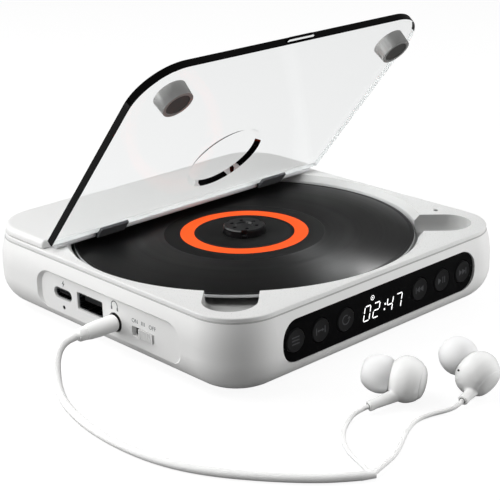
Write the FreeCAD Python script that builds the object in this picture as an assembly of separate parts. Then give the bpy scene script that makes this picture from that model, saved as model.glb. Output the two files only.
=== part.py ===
"""Portable disc player with a clear hinged lid, standing open, and wired earphones plugged in.

Millimetres. The origin is on the table, under the spindle in the middle of the case:
+X runs to the right along the front, +Y to the rear and +Z up.
"""
import FreeCAD
import Part
import math
import os

V = FreeCAD.Vector
X_AXIS = V(1, 0, 0)
Y_AXIS = V(0, 1, 0)
Z_AXIS = V(0, 0, 1)

# Disc and the well that holds it
disc_diameter = 120.0
disc_thickness = 1.2
disc_hole = 15.0
well_clearance = 1.4
well_wall = 1.6
well_floor = 1.5
disc_lift = 2.75
rim_height = 2.45
rim_flare = 1.8
rim_flare_depth = 2.2

# Case shells
shell_gap = 0.6
wall = 3.0
case_corner = 18.0
floor_thickness = 2.0
bay_height = 16.5
bottom_edge = 11.5
straight_wall = 4.5
inner_edge = 6.5
seam_lean = 1.6
top_plate = 1.4
top_edge = 0.45
seam_edge = 0.5
lip_depth = 2.0
lip_wall = 1.2
fit_gap = 0.15
overrun = 1.0
hair = 0.01
screw_boss_radius = 2.6
screw_radius = 1.25
screw_head_radius = 2.5
screw_head_height = 1.2
screw_head_recess = 1.5
screw_thread = 9.0
screw_end_gap = 1.0
front_boss_shares = (0.605, 0.849)
rear_boss_shares = (0.888, 0.629)
boss_foot_height = 2.0
boss_foot_margin = 0.8
foot_stand = 1.0
foot_recess = 0.6
foot_radius = 5.0
foot_edge = 0.33
foot_inset = 16.6

# Finger scoops on the two front diagonals
scoop_angles = [-45.0, -136.5]
scoop_width = 17.5
scoop_run = 18.4
scoop_depth = 6.1
scoop_round = 3.0
scoop_wall = 1.5
sensor_side_inset = 8.2
sensor_front_inset = 27.6
sensor_hole = 2.2
sensor_body_radius = 1.6
sensor_body_height = 3.5
sensor_set_back = 0.4

# Lid and hinge
lid_open_angle = 50.0
lid_gap = 0.3
lid_thickness = 2.8
lid_side_inset = 0.9
lid_front_inset = 3.8
lid_corner = 16.5
lid_edge = 0.4
lid_tab_width = 12.0
lid_tab_proud = 1.2
lid_tab_round = 1.05
lid_tab_thickness = 0.95
hinge_inset = 37.9
hinge_rise = 1.2
barrel_radius = 1.35
barrel_gap = 0.4
rail_inset = 3.0
pin_radius = 0.6
pin_running_gap = 0.05
pin_seat_gap = 0.02
pin_grip = 4.0
knuckle_x = 38.5
knuckle_width = 12.0
knuckle_side_gap = 0.3
knuckle_tab = 4.6
knuckle_tab_thickness = 1.0
knuckle_web = 1.1
pocket_radius = 15.5
pocket_depth = 1.5
pocket_slope = 1.6
post_side_inset = 14.1
post_front_inset = 11.7
post_radius = 5.8
post_taper = 0.35
post_height = 5.0
pad_radius = 4.3
pad_thickness = 1.0
pad_recess = 0.2

# Rear deck
deck_front_gap = 2.8
deck_inset = 0.5
deck_edge = 1.7
deck_groove = 0.4
deck_groove_depth = 0.9
deck_front_edge = 0.55
deck_skin = 1.6
deck_wall = 1.8
peg_radius = 1.5
peg_length = 2.6
peg_insets = [(8.6, 19.6), (24.6, 9.6)]

# Front panel, keys and display
panel_width = 92.2
panel_height = 14.1
panel_corner = 6.5
panel_centre_rise = 12.75
panel_inset = 0.8
panel_thickness = 1.5
panel_ledge = 1.0
button_names = ["mode", "repeat", "loop", "previous", "play", "next"]
button_end_inset = 5.8
button_pitch = 11.0
button_inner_pitch = 11.4
button_radius = 3.85
button_gap = 0.25
button_proud = 0.35
button_dish = 0.25
dish_ring = 0.6
dish_level = 0.5
button_flange = 0.5
button_flange_thickness = 0.8
button_flange_gap = 0.2
button_stem_radius = 1.5
button_stem = 1.1
button_travel = 0.8
dome_radius = 2.6
dome_height = 0.7
dome_top_radius = 1.55
dome_margin = 1.0
dome_strip_thickness = 0.5
key_board_thickness = 1.2
key_board_inset = 0.1
key_board_bottom_rise = 1.5
key_board_height = 14.6
display_side_gap = 0.8
display_height = 7.0
display_gap = 0.3
rib_width = 4.0
rib_height = 9.0
rib_cheek = 1.2

# Side port panel
port_inset = 1.2
port_slope = 1.0
port_rear_y = 32.1
port_front_y = -41.1
port_height = 13.6
port_centre_rise = 10.8
port_corner = 5.4
usb_a_y = 4.9
usb_a_rise = 6.1
usb_a_cut_width = 13.8
usb_a_cut_height = 6.2
usb_a_corner = 0.6
usb_a_shell_width = 13.1
usb_a_shell_height = 5.7
usb_a_depth = 14.0
usb_a_tongue = 1.9
usb_a_tongue_rise = 1.0
usb_a_sheet = 0.35
usb_c_y = 19.9
usb_c_rise = 5.9
usb_c_cut_width = 10.0
usb_c_cut_height = 4.1
usb_c_shell_width = 9.0
usb_c_shell_height = 3.2
usb_c_depth = 7.4
usb_c_tongue = 0.7
usb_c_sheet = 0.3
socket_set_back = 0.5
socket_back_start = 0.75
tongue_start = 0.08
tongue_end = 0.8
tongue_half = 0.36
heel_thickness = 1.2
jack_y = -8.4
jack_rise = 4.0
jack_cut_radius = 3.4
jack_nose_radius = 3.1
jack_bore_radius = 1.8
jack_body_half = 3.6
jack_depth = 14.2
jack_end_wall = 0.4
switch_front_y = -27.9
switch_window_length = 10.8
switch_rise = 3.8
switch_window_height = 3.5
switch_corner = 0.5
knob_length = 6.9
knob_gap = 0.2
knob_proud = 0.5
knob_ribs = 7
groove_width = 0.35
groove_depth = 0.25
knob_plate_margin = 1.2
knob_plate_thickness = 0.6
switch_body_depth = 4.5
switch_body_margin = 1.0
light_y = 19.8
light_rise = 1.1
light_radius = 0.65
light_gap = 0.1
light_length = 5.4
lamp_half = 1.0
lamp_depth = 1.6

# Main board and battery
board_left_gap = 1.6
board_width = 28.0
board_front_y = -36.0
board_rear_y = 28.0
board_stand = 4.0
board_thickness = 1.6
stand_radius = 2.6
board_screw_radius = 1.0
board_screw_head = 1.9
board_screw_head_height = 1.2
board_screw_grip = 3.0
board_screw_inset = 3.0
board_screw_side = 3.5
battery_left = 15.0
battery_rear = -22.0
battery_side_inset = 6.6
battery_front_inset = 13.6
battery_height = 6.8
battery_corner = 2.5

# Disc drive, laid along its own u axis and turned to the rear right corner
drive_angle = 45.0
chassis_rise = 10.5
chassis_thickness = 1.2
chassis_back = -17.0
chassis_half_width = 21.0
chassis_corner_cut = 12.0
sled_window_half = 10.5
ear_radius = 5.0
ear_back_inset = 5.0
ear_run = 52.0
ear_back_side = -1.0
ear_front_side = 4.0
bush_radius = 3.6
bush_height = 5.6
bush_groove_radius = 2.5
bush_bore = 1.6
damper_screw_radius = 1.2
damper_screw_grip = 5.0
damper_head_radius = 3.0
damper_head_height = 1.2
motor_radius = 12.0
motor_height = 7.0
motor_boss_radius = 3.2
motor_boss_height = 3.0
shaft_radius = 1.0
shaft_gap = 0.05
shaft_sink = 5.5
shaft_end_gap = 0.3
hub_gap = 0.1
hub_rise = 2.65
hub_boss_radius = 2.6
hub_boss_rise = 0.5
hub_boss_flare = 0.6
hub_holes = 6
hub_hole_radius = 0.7
hub_hole_depth = 1.4
hub_hole_circle = 4.6
hub_taper = 0.4
platter_radius = 15.0
platter_thickness = 1.5
ring_outer_radius = 14.6
ring_width = 4.6
ring_thickness = 0.5
pawl_count = 3
pawl_turn = 107.0
pawl_width = 2.0
pawl_length = 2.6
pawl_height = 1.1
pawl_overhang = 0.4
pawl_gap = 0.08
pawl_notch = 0.8
rod_radius = 1.5
rod_v = 13.0
rod_drop = 2.5
rod_gap = 0.05
rod_start = 14.0
clip_length = 2.5
clip_side = 1.4
clip_margin = 1.0
sled_end_gap = 0.5
sled_window_gap = 0.6
lens_start = 24.0
lens_end_margin = 3.5
lens_clearance = 1.75
lens_radius = 2.0
lens_dome = 0.4
lens_block_half = 3.4
holder_round = 0.8
sled_inner = 7.0
sled_outer = 4.5
sled_upper_half = 9.5
sled_lower_half = 15.5
sled_under_rod = 2.0
sled_below_plate = 0.4
sled_headroom = 0.7
screw_v = -17.5
lead_screw_radius = 1.5
lead_screw_gap = 0.1
nut_width = 4.6
nut_side = 1.5
feed_motor_radius = 5.5
feed_motor_length = 14.5
feed_motor_start = -4.0
feed_flange = 1.5
feed_motor_gap = 0.6
feed_shaft_sink = 2.5
window_clearance = 0.8
spindle_opening = 17.0

# Earphones lying on the table
plug_radius = 1.75
plug_length = 13.6
plug_tip = 3.0
plug_waist = 1.15
plug_cone = 1.8
plug_nose = 0.5
grip_radius = 2.8
grip_end_radius = 1.9
grip_length = 15.1
grip_straight = 6.5
grip_end_taper = 0.2
grip_end_length = 3.7
main_cord_radius = 1.3
thin_cord_radius = 0.7
arc_share = 0.45
bud_radius = 7.2
bud_back = 6.2
bud_front = 5.0
bud_back_radius = 5.33
bud_back_depth = 4.34
bud_front_radius = 6.0
bud_front_depth = 3.29
bud_lip = 0.6
nozzle_radius = 2.6
nozzle_length = 5.8
ear_tip_radius = 5.8
ear_tip_start = 4.9
ear_tip_length = 8.3
ear_tip_gap = 0.15
tip_shoulder_radius = 5.0
tip_shoulder_rise = 5.4
tip_lip = 0.5
tip_hollow = 3.3
tip_skin = 0.9
stem_end_radius = 1.5
stem_root_radius = 2.5
split_centre = V(-66.4, -121.0, 1.4)
split_margin = 0.05
split_nose = 1.1
split_nose_radius = 1.0
main_route = [
    V(-80.5, -8.4, 12.6), V(-84.3, -8.4, 12.6), V(-88.1, -9.1, 11.0), V(-90.9, -11.0, 8.0),
    V(-93.2, -14.1, 4.6), V(-95.7, -18.5, 2.2), V(-98.5, -24.9, 1.4), V(-100.9, -32.4, 1.4),
    V(-102.9, -41.6, 1.4), V(-103.8, -51.4, 1.4), V(-103.6, -62.0, 1.4), V(-102.2, -72.0, 1.4),
    V(-99.3, -81.4, 1.4), V(-95.0, -90.0, 1.4), V(-89.8, -97.8, 1.4), V(-84.3, -105.0, 1.4),
    V(-78.6, -111.4, 1.4), V(-73.2, -116.24, 1.4), V(-68.86, -119.28, 1.4),
]
left_route = [
    V(-65.26, -118.22, 1.4), V(-63.4, -113.69, 1.4), V(-61.1, -107.8, 0.8), V(-57.6, -102.2, 0.75),
    V(-52.9, -97.6, 0.75), V(-47.4, -94.4, 1.0), V(-42.56, -92.93, 1.8), V(-38.3, -94.2, 2.5),
]
right_route = [
    V(-63.46, -120.4, 1.4), V(-57.8, -119.245, 1.4), V(-51.4, -116.9, 0.8), V(-45.0, -113.3, 0.75),
    V(-38.6, -109.7, 0.75), V(-32.2, -107.6, 0.75), V(-26.6, -108.7, 0.9), V(-22.2, -111.2, 1.4),
    V(-19.12, -112.16, 2.0), V(-16.2, -111.8, 2.6),
]
left_bud_centre = V(-24.0, -96.4, 7.25)
left_bud_aim = V(-0.50, 0.85, 0.12)
left_stem_root = V(-26.2, -97.8, 4.5)
right_bud_centre = V(-6.0, -109.0, 7.25)
right_bud_aim = V(0.0, 0.90, 0.44)
right_stem_root = V(-6.6, -110.6, 4.6)

# Levels and planes worked out from the sizes above
disc_radius = disc_diameter / 2
well_radius = disc_radius + well_clearance
well_outer = well_radius + well_wall
inner_half = well_outer + shell_gap
case_half = inner_half + wall
hinge_y = case_half - hinge_inset
lid_half_width = case_half - seam_lean - lid_side_inset
lid_reach = hinge_y + case_half - seam_lean - lid_front_inset
post_x = lid_half_width - post_side_inset
post_reach = lid_reach - post_front_inset
scoop_reach = well_radius + scoop_run
sensor_x = case_half - sensor_side_inset
sensor_y = sensor_front_inset - case_half
battery_right = inner_half - battery_side_inset
battery_front = battery_front_inset - inner_half
key_board_half_width = panel_width / 2 - key_board_inset
right_places = [panel_width / 2 - button_end_inset - run
                for run in (button_pitch + button_inner_pitch, button_pitch, 0)]
button_places = [-x for x in reversed(right_places)] + right_places
display_half_width = right_places[0] - button_radius - button_flange - display_side_gap
z_bottom = foot_stand
z_floor = z_bottom + floor_thickness
z_boss = z_floor + boss_foot_height
z_well_under = z_floor + bay_height
z_well = z_well_under + well_floor
z_disc = z_well + disc_lift
z_disc_top = z_disc + disc_thickness
z_top = z_disc_top + rim_height
z_seam = z_top - top_plate
z_lid = z_top + lid_gap
z_lid_top = z_lid + lid_thickness
z_hinge = z_lid + hinge_rise
z_scoop = z_top - scoop_depth
z_shoulder = z_bottom + bottom_edge + straight_wall
shoulder_height = z_seam - z_shoulder
shoulder_radius = (shoulder_height ** 2 + seam_lean ** 2) / (2 * seam_lean)
deck_front_y = hinge_y + deck_front_gap
z_board = z_floor + board_stand + board_thickness
z_panel = z_floor + panel_centre_rise
panel_y = -case_half + panel_inset
panel_back_y = panel_y + panel_thickness
port_x = -case_half + port_inset
wall_inside_x = -inner_half
z_chassis = z_floor + chassis_rise
z_chassis_top = z_chassis + chassis_thickness
z_rod = z_chassis - rod_drop
lens_travel = disc_radius - lens_end_margin - lens_start
rod_end = lens_start + lens_travel + sled_outer + clip_length + sled_end_gap
chassis_end = rod_end + clip_margin
boss_places = [(side * across * inner_half, end * along * inner_half)
               for end, (across, along) in ((-1, front_boss_shares), (1, rear_boss_shares))
               for side in (-1, 1)]
peg_places = [(case_half - across, case_half - along) for across, along in peg_insets]
board_left = wall_inside_x + board_left_gap
board_right = board_left + board_width
board_screw_places = [(board_left + board_screw_side, board_front_y + board_screw_inset),
                      (board_right - board_screw_side, board_front_y + board_screw_inset),
                      (board_right - board_screw_side, board_rear_y - board_screw_inset)]
ear_places = [(chassis_back + ear_back_inset + run, side * (chassis_half_width + margin))
              for run, margin in ((0, ear_back_side), (ear_run, ear_front_side)) for side in (1, -1)]
foot_places = [(sx * (case_half - foot_inset), sy * (case_half - foot_inset))
               for sx in (-1, 1) for sy in (-1, 1)]


def box(x0, x1, y0, y1, z0, z1):
    """Block between two corners."""
    return Part.makeBox(x1 - x0, y1 - y0, z1 - z0, V(x0, y0, z0))


def post(radius, z0, z1, x=0.0, y=0.0):
    """Upright round bar."""
    return Part.makeCylinder(radius, z1 - z0, V(x, y, z0), Z_AXIS)


def bar(radius, start, end):
    """Round bar between two points."""
    run = end - start
    return Part.makeCylinder(radius, run.Length, start, run)


def turned(points, axis_base=V(0, 0, 0), axis=Z_AXIS):
    """Solid of revolution of a closed outline about an axis."""
    return Part.Face(Part.makePolygon(points + points[:1])).revolve(axis_base, axis, 360)


def fused(shapes):
    """One solid from touching shapes."""
    return shapes[0].multiFuse(shapes[1:]).removeSplitter()


def rounded_plate(half_x, half_z, corner):
    """Rounded rectangle face in the XZ plane, centred on the origin."""
    corner = min(corner, half_z - hair, half_x - hair)
    edges = []
    for turn, (sx, sz) in enumerate([(1, 1), (-1, 1), (-1, -1), (1, -1)]):
        centre = V(sx * (half_x - corner), 0, sz * (half_z - corner))
        angles = [math.radians(90 * turn + step) for step in (0, 45, 90)]
        edges.append([centre + V(corner * math.cos(a), 0, corner * math.sin(a)) for a in angles])
    outline = []
    for here, following in zip(edges, edges[1:] + edges[:1]):
        outline.append(Part.Arc(*here).toShape())
        outline.append(Part.makeLine(here[2], following[0]))
    return Part.Face(Part.Wire(outline))


def front_prism(width, height, corner, y0, y1, x=0.0, z=0.0):
    """Rounded rectangle seen from the front, carried from y0 to y1."""
    face = rounded_plate(width / 2, height / 2, corner)
    face.translate(V(x, y0, z))
    return face.extrude(V(0, y1 - y0, 0))


def side_prism(width, height, corner, x0, x1, y=0.0, z=0.0):
    """Rounded rectangle seen from the side, carried from x0 to x1."""
    face = rounded_plate(width / 2, height / 2, corner)
    face.rotate(V(0, 0, 0), Z_AXIS, 90)
    face.translate(V(x0, y, z))
    return face.extrude(V(x1 - x0, 0, 0))


def side_dish(width, height, corner, slope, x0, x1, y=0.0, z=0.0):
    """Rounded rectangle seen from the side, whose walls open out with the slope from x1 to x0."""
    wires = []
    for x in (x0, x1):
        flare = slope * abs(x1 - x)
        face = rounded_plate(width / 2 + flare, height / 2 + flare, corner + flare)
        face.rotate(V(0, 0, 0), Z_AXIS, 90)
        face.translate(V(x, y, z))
        wires.append(face.OuterWire)
    return Part.makeLoft(wires, True, True)


def rounded_block(half, corner, outline):
    """Square block with round corners whose upright edge profile is a wire.

    The outline lies in the XZ plane and runs from the corner's axis at its foot, out round
    the wall, and back to the axis at its top. The same outline is swept along each side.
    """
    first = outline[0].Vertexes[0].Point
    last = outline[-1].Vertexes[-1].Point
    face = Part.Face(Part.Wire(outline + [Part.makeLine(last, first)]))
    reach = half - corner
    pieces = [box(-reach, reach, -reach, reach, first.z, last.z)]
    for quarter in range(4):
        turn = face.revolve(V(0, 0, 0), Z_AXIS, 90)
        turn.translate(V(reach, reach, 0))
        side = face.extrude(V(0, 2 * reach, 0))
        side.translate(V(reach, -reach, 0))
        for piece in (turn, side):
            piece.rotate(V(0, 0, 0), Z_AXIS, 90 * quarter)
            pieces.append(piece)
    return fused(pieces)


def wall_profile():
    """Outer wall of the lower shell: rolled bottom edge, belly, wall leaning in to a soft upper edge."""
    edge = V(case_corner - bottom_edge, 0, z_bottom)
    roll = V(case_corner - bottom_edge * (1 - math.sin(math.pi / 4)), 0,
             z_bottom + bottom_edge * (1 - math.cos(math.pi / 4)))
    belly = V(case_corner, 0, z_bottom + bottom_edge)
    shoulder = V(case_corner, 0, z_shoulder)

    def lean(height):
        return V(case_corner - shoulder_radius + math.sqrt(shoulder_radius ** 2 - height ** 2), 0,
                 z_shoulder + height)

    lip = lean(shoulder_height - seam_edge)
    crown = V(lip.x - seam_edge, 0, z_seam)
    round_over = V(lip.x - seam_edge * (1 - math.cos(math.pi / 4)), 0,
                   z_seam - seam_edge * (1 - math.sin(math.pi / 4)))
    return [Part.makeLine(V(0, 0, z_bottom), edge), Part.Arc(edge, roll, belly).toShape(),
            Part.makeLine(belly, shoulder),
            Part.Arc(shoulder, lean(shoulder_height / 2), lip).toShape(),
            Part.Arc(lip, round_over, crown).toShape(), Part.makeLine(crown, V(0, 0, z_seam))]


def soft_edge_profile(reach, z0, z1, edge):
    """Upright wall that ends in a rounded top edge."""
    low = V(reach, 0, z0)
    side = V(reach, 0, z1 - edge)
    crown = V(reach - edge, 0, z1)
    round_over = V(reach - edge * (1 - math.cos(math.pi / 4)), 0,
                   z1 - edge * (1 - math.sin(math.pi / 4)))
    return [Part.makeLine(V(0, 0, z0), low), Part.makeLine(low, side),
            Part.Arc(side, round_over, crown).toShape(), Part.makeLine(crown, V(0, 0, z1))]


def cavity_profile(reach, z0, z1, edge):
    """Upright inner wall over a rounded inner floor edge."""
    floor = V(reach - edge, 0, z0)
    side = V(reach, 0, z0 + edge)
    round_in = V(reach - edge * (1 - math.sin(math.pi / 4)), 0,
                 z0 + edge * (1 - math.cos(math.pi / 4)))
    top = V(reach, 0, z1)
    return [Part.makeLine(V(0, 0, z0), floor), Part.Arc(floor, round_in, side).toShape(),
            Part.makeLine(side, top), Part.makeLine(top, V(0, 0, z1))]


def drive(shape):
    """Turn a piece of the disc drive from its own u axis to its place in the case."""
    shape.rotate(V(0, 0, 0), Z_AXIS, drive_angle)
    return shape


def opened(shape):
    """Swing a piece of the lid from closed to where it stands open."""
    shape.rotate(V(0, hinge_y, z_hinge), X_AXIS, -lid_open_angle)
    return shape


def bottom_housing():
    """Lower shell with its port panel, front window, bosses and stands."""
    inner_corner = case_corner - wall
    shell = rounded_block(case_half, case_corner, wall_profile())
    cavity = rounded_block(inner_half, inner_corner,
                           cavity_profile(inner_corner, z_floor, z_seam, inner_edge))
    shell = shell.cut(cavity)
    added = []
    for x, y in board_screw_places:
        added.append(post(stand_radius, z_floor, z_floor + board_stand, x, y))
    for x, y in boss_places:
        added.append(post(screw_boss_radius + boss_foot_margin, z_floor, z_boss, x, y))
    for u, v in ear_places:
        added.append(drive(post(bush_radius, z_floor, z_chassis_top - bush_height / 2, u, v)))
    key_back_y = key_board_y() + key_board_thickness
    for side in (-1, 1):
        end = side * (key_board_half_width + fit_gap)
        inner = end - side * rib_width / 2
        outer = end + side * rib_width / 2
        rib = box(min(inner, outer), max(inner, outer), key_board_y() - rib_cheek, key_back_y + rib_cheek,
                  z_floor, z_floor + rib_height)
        slot = box(-key_board_half_width - fit_gap, key_board_half_width + fit_gap,
                   key_board_y() - fit_gap, key_back_y + fit_gap,
                   z_floor + key_board_bottom_rise, z_seam)
        added.append(rib.cut(slot))
    shell = fused([shell] + added)
    cuts = [front_prism(panel_width + 2 * fit_gap, panel_height + 2 * fit_gap, panel_corner,
                        -case_half - overrun, panel_back_y, 0, z_panel),
            front_prism(panel_width - 2 * panel_ledge, panel_height - 2 * panel_ledge,
                        panel_corner - panel_ledge, panel_back_y - overrun, -inner_half + overrun,
                        0, z_panel)]
    port_middle = (port_front_y + port_rear_y) / 2
    cuts.append(side_dish(port_rear_y - port_front_y, port_height, port_corner, port_slope,
                          -case_half - overrun, port_x, port_middle, z_floor + port_centre_rise))
    through = (-case_half, wall_inside_x + overrun)
    cuts.append(side_prism(usb_a_cut_width, usb_a_cut_height, usb_a_corner, *through, usb_a_y,
                           z_board + usb_a_rise))
    cuts.append(side_prism(usb_c_cut_width, usb_c_cut_height, usb_c_cut_height / 2, *through, usb_c_y,
                           z_board + usb_c_rise))
    cuts.append(side_prism(switch_window_length, switch_window_height, switch_corner, *through,
                           switch_front_y + switch_window_length / 2, z_board + switch_rise))
    for y, rise, radius in ((jack_y, jack_rise, jack_cut_radius),
                            (light_y, light_rise, light_radius + light_gap)):
        cuts.append(bar(radius, V(through[0], y, z_board + rise), V(through[1], y, z_board + rise)))
    for x, y in foot_places:
        cuts.append(post(foot_radius + fit_gap, z_bottom - overrun, z_bottom + foot_recess, x, y))
    for x, y in boss_places:
        cuts.append(post(screw_radius + fit_gap, z_bottom - overrun, z_boss + overrun, x, y))
        cuts.append(post(screw_head_radius + fit_gap, z_bottom - overrun,
                         z_bottom + screw_head_recess, x, y))
    for x, y in board_screw_places:
        cuts.append(post(board_screw_radius, z_board - board_thickness - board_screw_grip,
                         z_board, x, y))
    for u, v in ear_places:
        cuts.append(drive(post(damper_screw_radius, z_chassis_top - bush_height / 2 - damper_screw_grip,
                               z_chassis_top, u, v)))
    return shell.cut(Part.makeCompound(cuts))


def scoop(margin, drop, reach_in):
    """Round-ended trough along +X, open towards the disc well; the margin makes it fatter."""
    half = scoop_width / 2 + margin
    end = scoop_reach - scoop_width / 2
    block = fused([box(reach_in, end, -half, half, z_scoop - drop, z_top + overrun),
                   post(half, z_scoop - drop, z_top + overrun, end, 0)])
    floor_edges = [edge for edge in block.Edges
                   if edge.BoundBox.ZMax < z_scoop - drop + hair and edge.BoundBox.XMin > reach_in - hair
                   and edge.BoundBox.XMax > reach_in + hair]
    return block.makeFillet(scoop_round + margin, floor_edges)


def top_frame():
    """Upper shell: rim, disc well, finger scoops, pickup window and hanging screw bosses."""
    reach = case_corner - seam_lean
    half = case_half - seam_lean
    frame = rounded_block(half, reach, soft_edge_profile(reach, z_seam, z_top, top_edge))
    lip_half = inner_half - fit_gap
    lip_corner = case_corner - wall - fit_gap
    lip = rounded_block(lip_half, lip_corner,
                        soft_edge_profile(lip_corner, z_seam - lip_depth, z_seam, hair))
    inside = rounded_block(lip_half - lip_wall, lip_corner - lip_wall,
                           soft_edge_profile(lip_corner - lip_wall, z_seam - lip_depth, z_seam, hair))
    added = [lip.cut(inside), post(well_outer, z_well_under, z_seam)]
    for x, y in boss_places:
        added.append(post(screw_boss_radius, z_boss, z_seam, x, y))
    for angle in scoop_angles:
        trough = scoop(scoop_wall, scoop_wall, well_radius)
        trough = trough.common(box(0, 2 * case_half, -case_half, case_half, 0, z_seam))
        trough.rotate(V(0, 0, 0), Z_AXIS, angle)
        added.append(trough)
    frame = fused([frame] + added)
    flare = well_radius + rim_flare
    cuts = [turned([V(0, 0, z_well), V(well_radius, 0, z_well),
                    V(well_radius, 0, z_top - rim_flare_depth), V(flare, 0, z_top),
                    V(flare, 0, z_top + overrun), V(0, 0, z_top + overrun)])]
    for angle in scoop_angles:
        trough = scoop(0, 0, disc_radius / 2)
        trough.rotate(V(0, 0, 0), Z_AXIS, angle)
        cuts.append(trough)
    cuts.append(post(spindle_opening, z_well_under - overrun, z_well + overrun))
    lane = lens_block_half + window_clearance
    cuts.append(drive(box(lens_start - lane, lens_start + lens_travel + lane, -lane, lane,
                          z_well_under - overrun, z_well + overrun)))
    cuts.append(post(sensor_hole / 2, z_seam - overrun, z_top + overrun, sensor_x, sensor_y))
    for x, y in boss_places:
        cuts.append(post(screw_radius, z_boss - overrun, z_boss + screw_thread, x, y))
    for x, y in peg_places:
        for side in (-1, 1):
            cuts.append(post(peg_radius + fit_gap, z_seam - overrun, z_top + overrun, side * x, y))
    return frame.cut(Part.makeCompound(cuts))


def rear_deck():
    """Raised rear cover over the back of the well, with the hinge rail along its front edge."""
    reach = case_corner - seam_lean - deck_inset
    half = case_half - seam_lean - deck_inset
    skin = rounded_block(half, reach, soft_edge_profile(reach, z_top, z_lid_top, deck_edge))
    groove = rounded_block(half, reach, soft_edge_profile(reach, z_top, z_top + deck_groove, hair)).cut(
        rounded_block(half - deck_groove_depth, reach - deck_groove_depth,
                      soft_edge_profile(reach - deck_groove_depth, z_top, z_top + deck_groove, hair)))
    hollow = rounded_block(half - deck_wall, reach - deck_wall,
                           soft_edge_profile(reach - deck_wall, z_top, z_lid_top - deck_skin, hair))
    hollow = hollow.common(box(-case_half, case_half, deck_front_y + deck_wall, case_half, 0, z_lid_top))
    deck = skin.common(box(-case_half, case_half, deck_front_y, case_half, 0, z_lid_top)).cut(hollow)
    front_edges = [edge for edge in deck.Edges
                   if abs(edge.BoundBox.YMax - deck_front_y) < hair
                   and edge.BoundBox.ZMin > z_lid_top - hair]
    deck = deck.makeFillet(deck_front_edge, front_edges).cut(groove)
    under_web = z_hinge - barrel_radius
    rail_half = lid_half_width - rail_inset
    rail = [bar(barrel_radius, V(-rail_half, hinge_y, z_hinge), V(rail_half, hinge_y, z_hinge)),
            box(-rail_half, rail_half, hinge_y, deck_front_y + deck_wall, under_web, z_hinge)]
    rail = fused(rail)
    for side in (-1, 1):
        gap = knuckle_width / 2 + knuckle_side_gap
        rail = rail.cut(box(side * knuckle_x - gap, side * knuckle_x + gap, hinge_y - 2 * barrel_radius,
                            hinge_y + barrel_radius + barrel_gap, 0, 2 * z_lid_top))
        pin = gap + pin_grip
        rail = rail.cut(bar(pin_radius + pin_seat_gap, V(side * knuckle_x - pin, hinge_y, z_hinge),
                            V(side * knuckle_x + pin, hinge_y, z_hinge)))
    pegs = [post(peg_radius, z_top - peg_length, z_lid_top - deck_skin + hair, side * x, y)
            for x, y in peg_places for side in (-1, 1)]
    return fused([deck, rail] + pegs)


def hinge_pins():
    """Two steel pins, one through each knuckle into the rail on both sides."""
    reach = knuckle_width / 2 + knuckle_side_gap + pin_grip
    return Part.makeCompound([bar(pin_radius, V(side * knuckle_x - reach, hinge_y, z_hinge),
                                  V(side * knuckle_x + reach, hinge_y, z_hinge)) for side in (-1, 1)])


def lid_panel():
    """Clear lid with round front corners, a hub pocket inside and a finger tab on its free edge."""
    rear = hinge_y - barrel_radius - barrel_gap
    front = hinge_y - lid_reach
    half = lid_half_width
    low = z_lid
    bend = lid_corner * (1 - math.cos(math.pi / 4))
    corners = [V(-half, rear, low), V(-half, front + lid_corner, low),
               V(-half + bend, front + bend, low), V(-half + lid_corner, front, low)]
    mirrored = [V(-p.x, p.y, p.z) for p in corners]
    outline = [Part.makeLine(corners[0], corners[1]), Part.Arc(*corners[1:]).toShape(),
               Part.makeLine(corners[3], mirrored[3]), Part.Arc(*mirrored[:0:-1]).toShape(),
               Part.makeLine(mirrored[1], mirrored[0]), Part.makeLine(mirrored[0], corners[0])]
    panel = Part.Face(Part.Wire(outline)).extrude(V(0, 0, lid_thickness))
    rim = [edge for edge in panel.Edges if abs(edge.BoundBox.ZMax - edge.BoundBox.ZMin) < hair]
    panel = panel.makeFillet(lid_edge, rim)
    tab = front_tab(front)
    pocket = Part.makeCone(pocket_radius, pocket_radius - pocket_slope, pocket_depth,
                           V(0, 0, z_lid), Z_AXIS)
    return opened(fused([panel, tab]).cut(pocket))


def front_tab(front):
    """Thin finger tab that stands proud of the lid's free edge."""
    half = lid_tab_width / 2
    rise = (lid_thickness - lid_tab_thickness) / 2
    tab = box(-half, half, front - lid_tab_proud, front + lid_tab_proud, z_lid + rise, z_lid_top - rise)
    nose = [edge for edge in tab.Edges
            if edge.BoundBox.YMax < front and edge.BoundBox.ZMax - edge.BoundBox.ZMin > rise / 2]
    return tab.makeFillet(lid_tab_round, nose)


def lid_posts():
    """Two satin stops under the lid's front corners, each with a recess for its pad."""
    stops = []
    for side in (-1, 1):
        x = side * post_x
        y = hinge_y - post_reach
        end = z_lid - post_height
        stop = Part.makeCone(post_radius - post_taper, post_radius, post_height, V(x, y, end), Z_AXIS)
        recess = post(pad_radius + pin_running_gap, end - overrun, end + pad_thickness, x, y)
        stops.append(opened(stop.cut(recess)))
    return Part.makeCompound(stops)


def lid_post_pads():
    """Dark pads set into the ends of the lid's stops."""
    end = z_lid - post_height
    return Part.makeCompound([opened(post(pad_radius, end + pad_recess, end + pad_thickness, side * post_x,
                                          hinge_y - post_reach)) for side in (-1, 1)])


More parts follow.
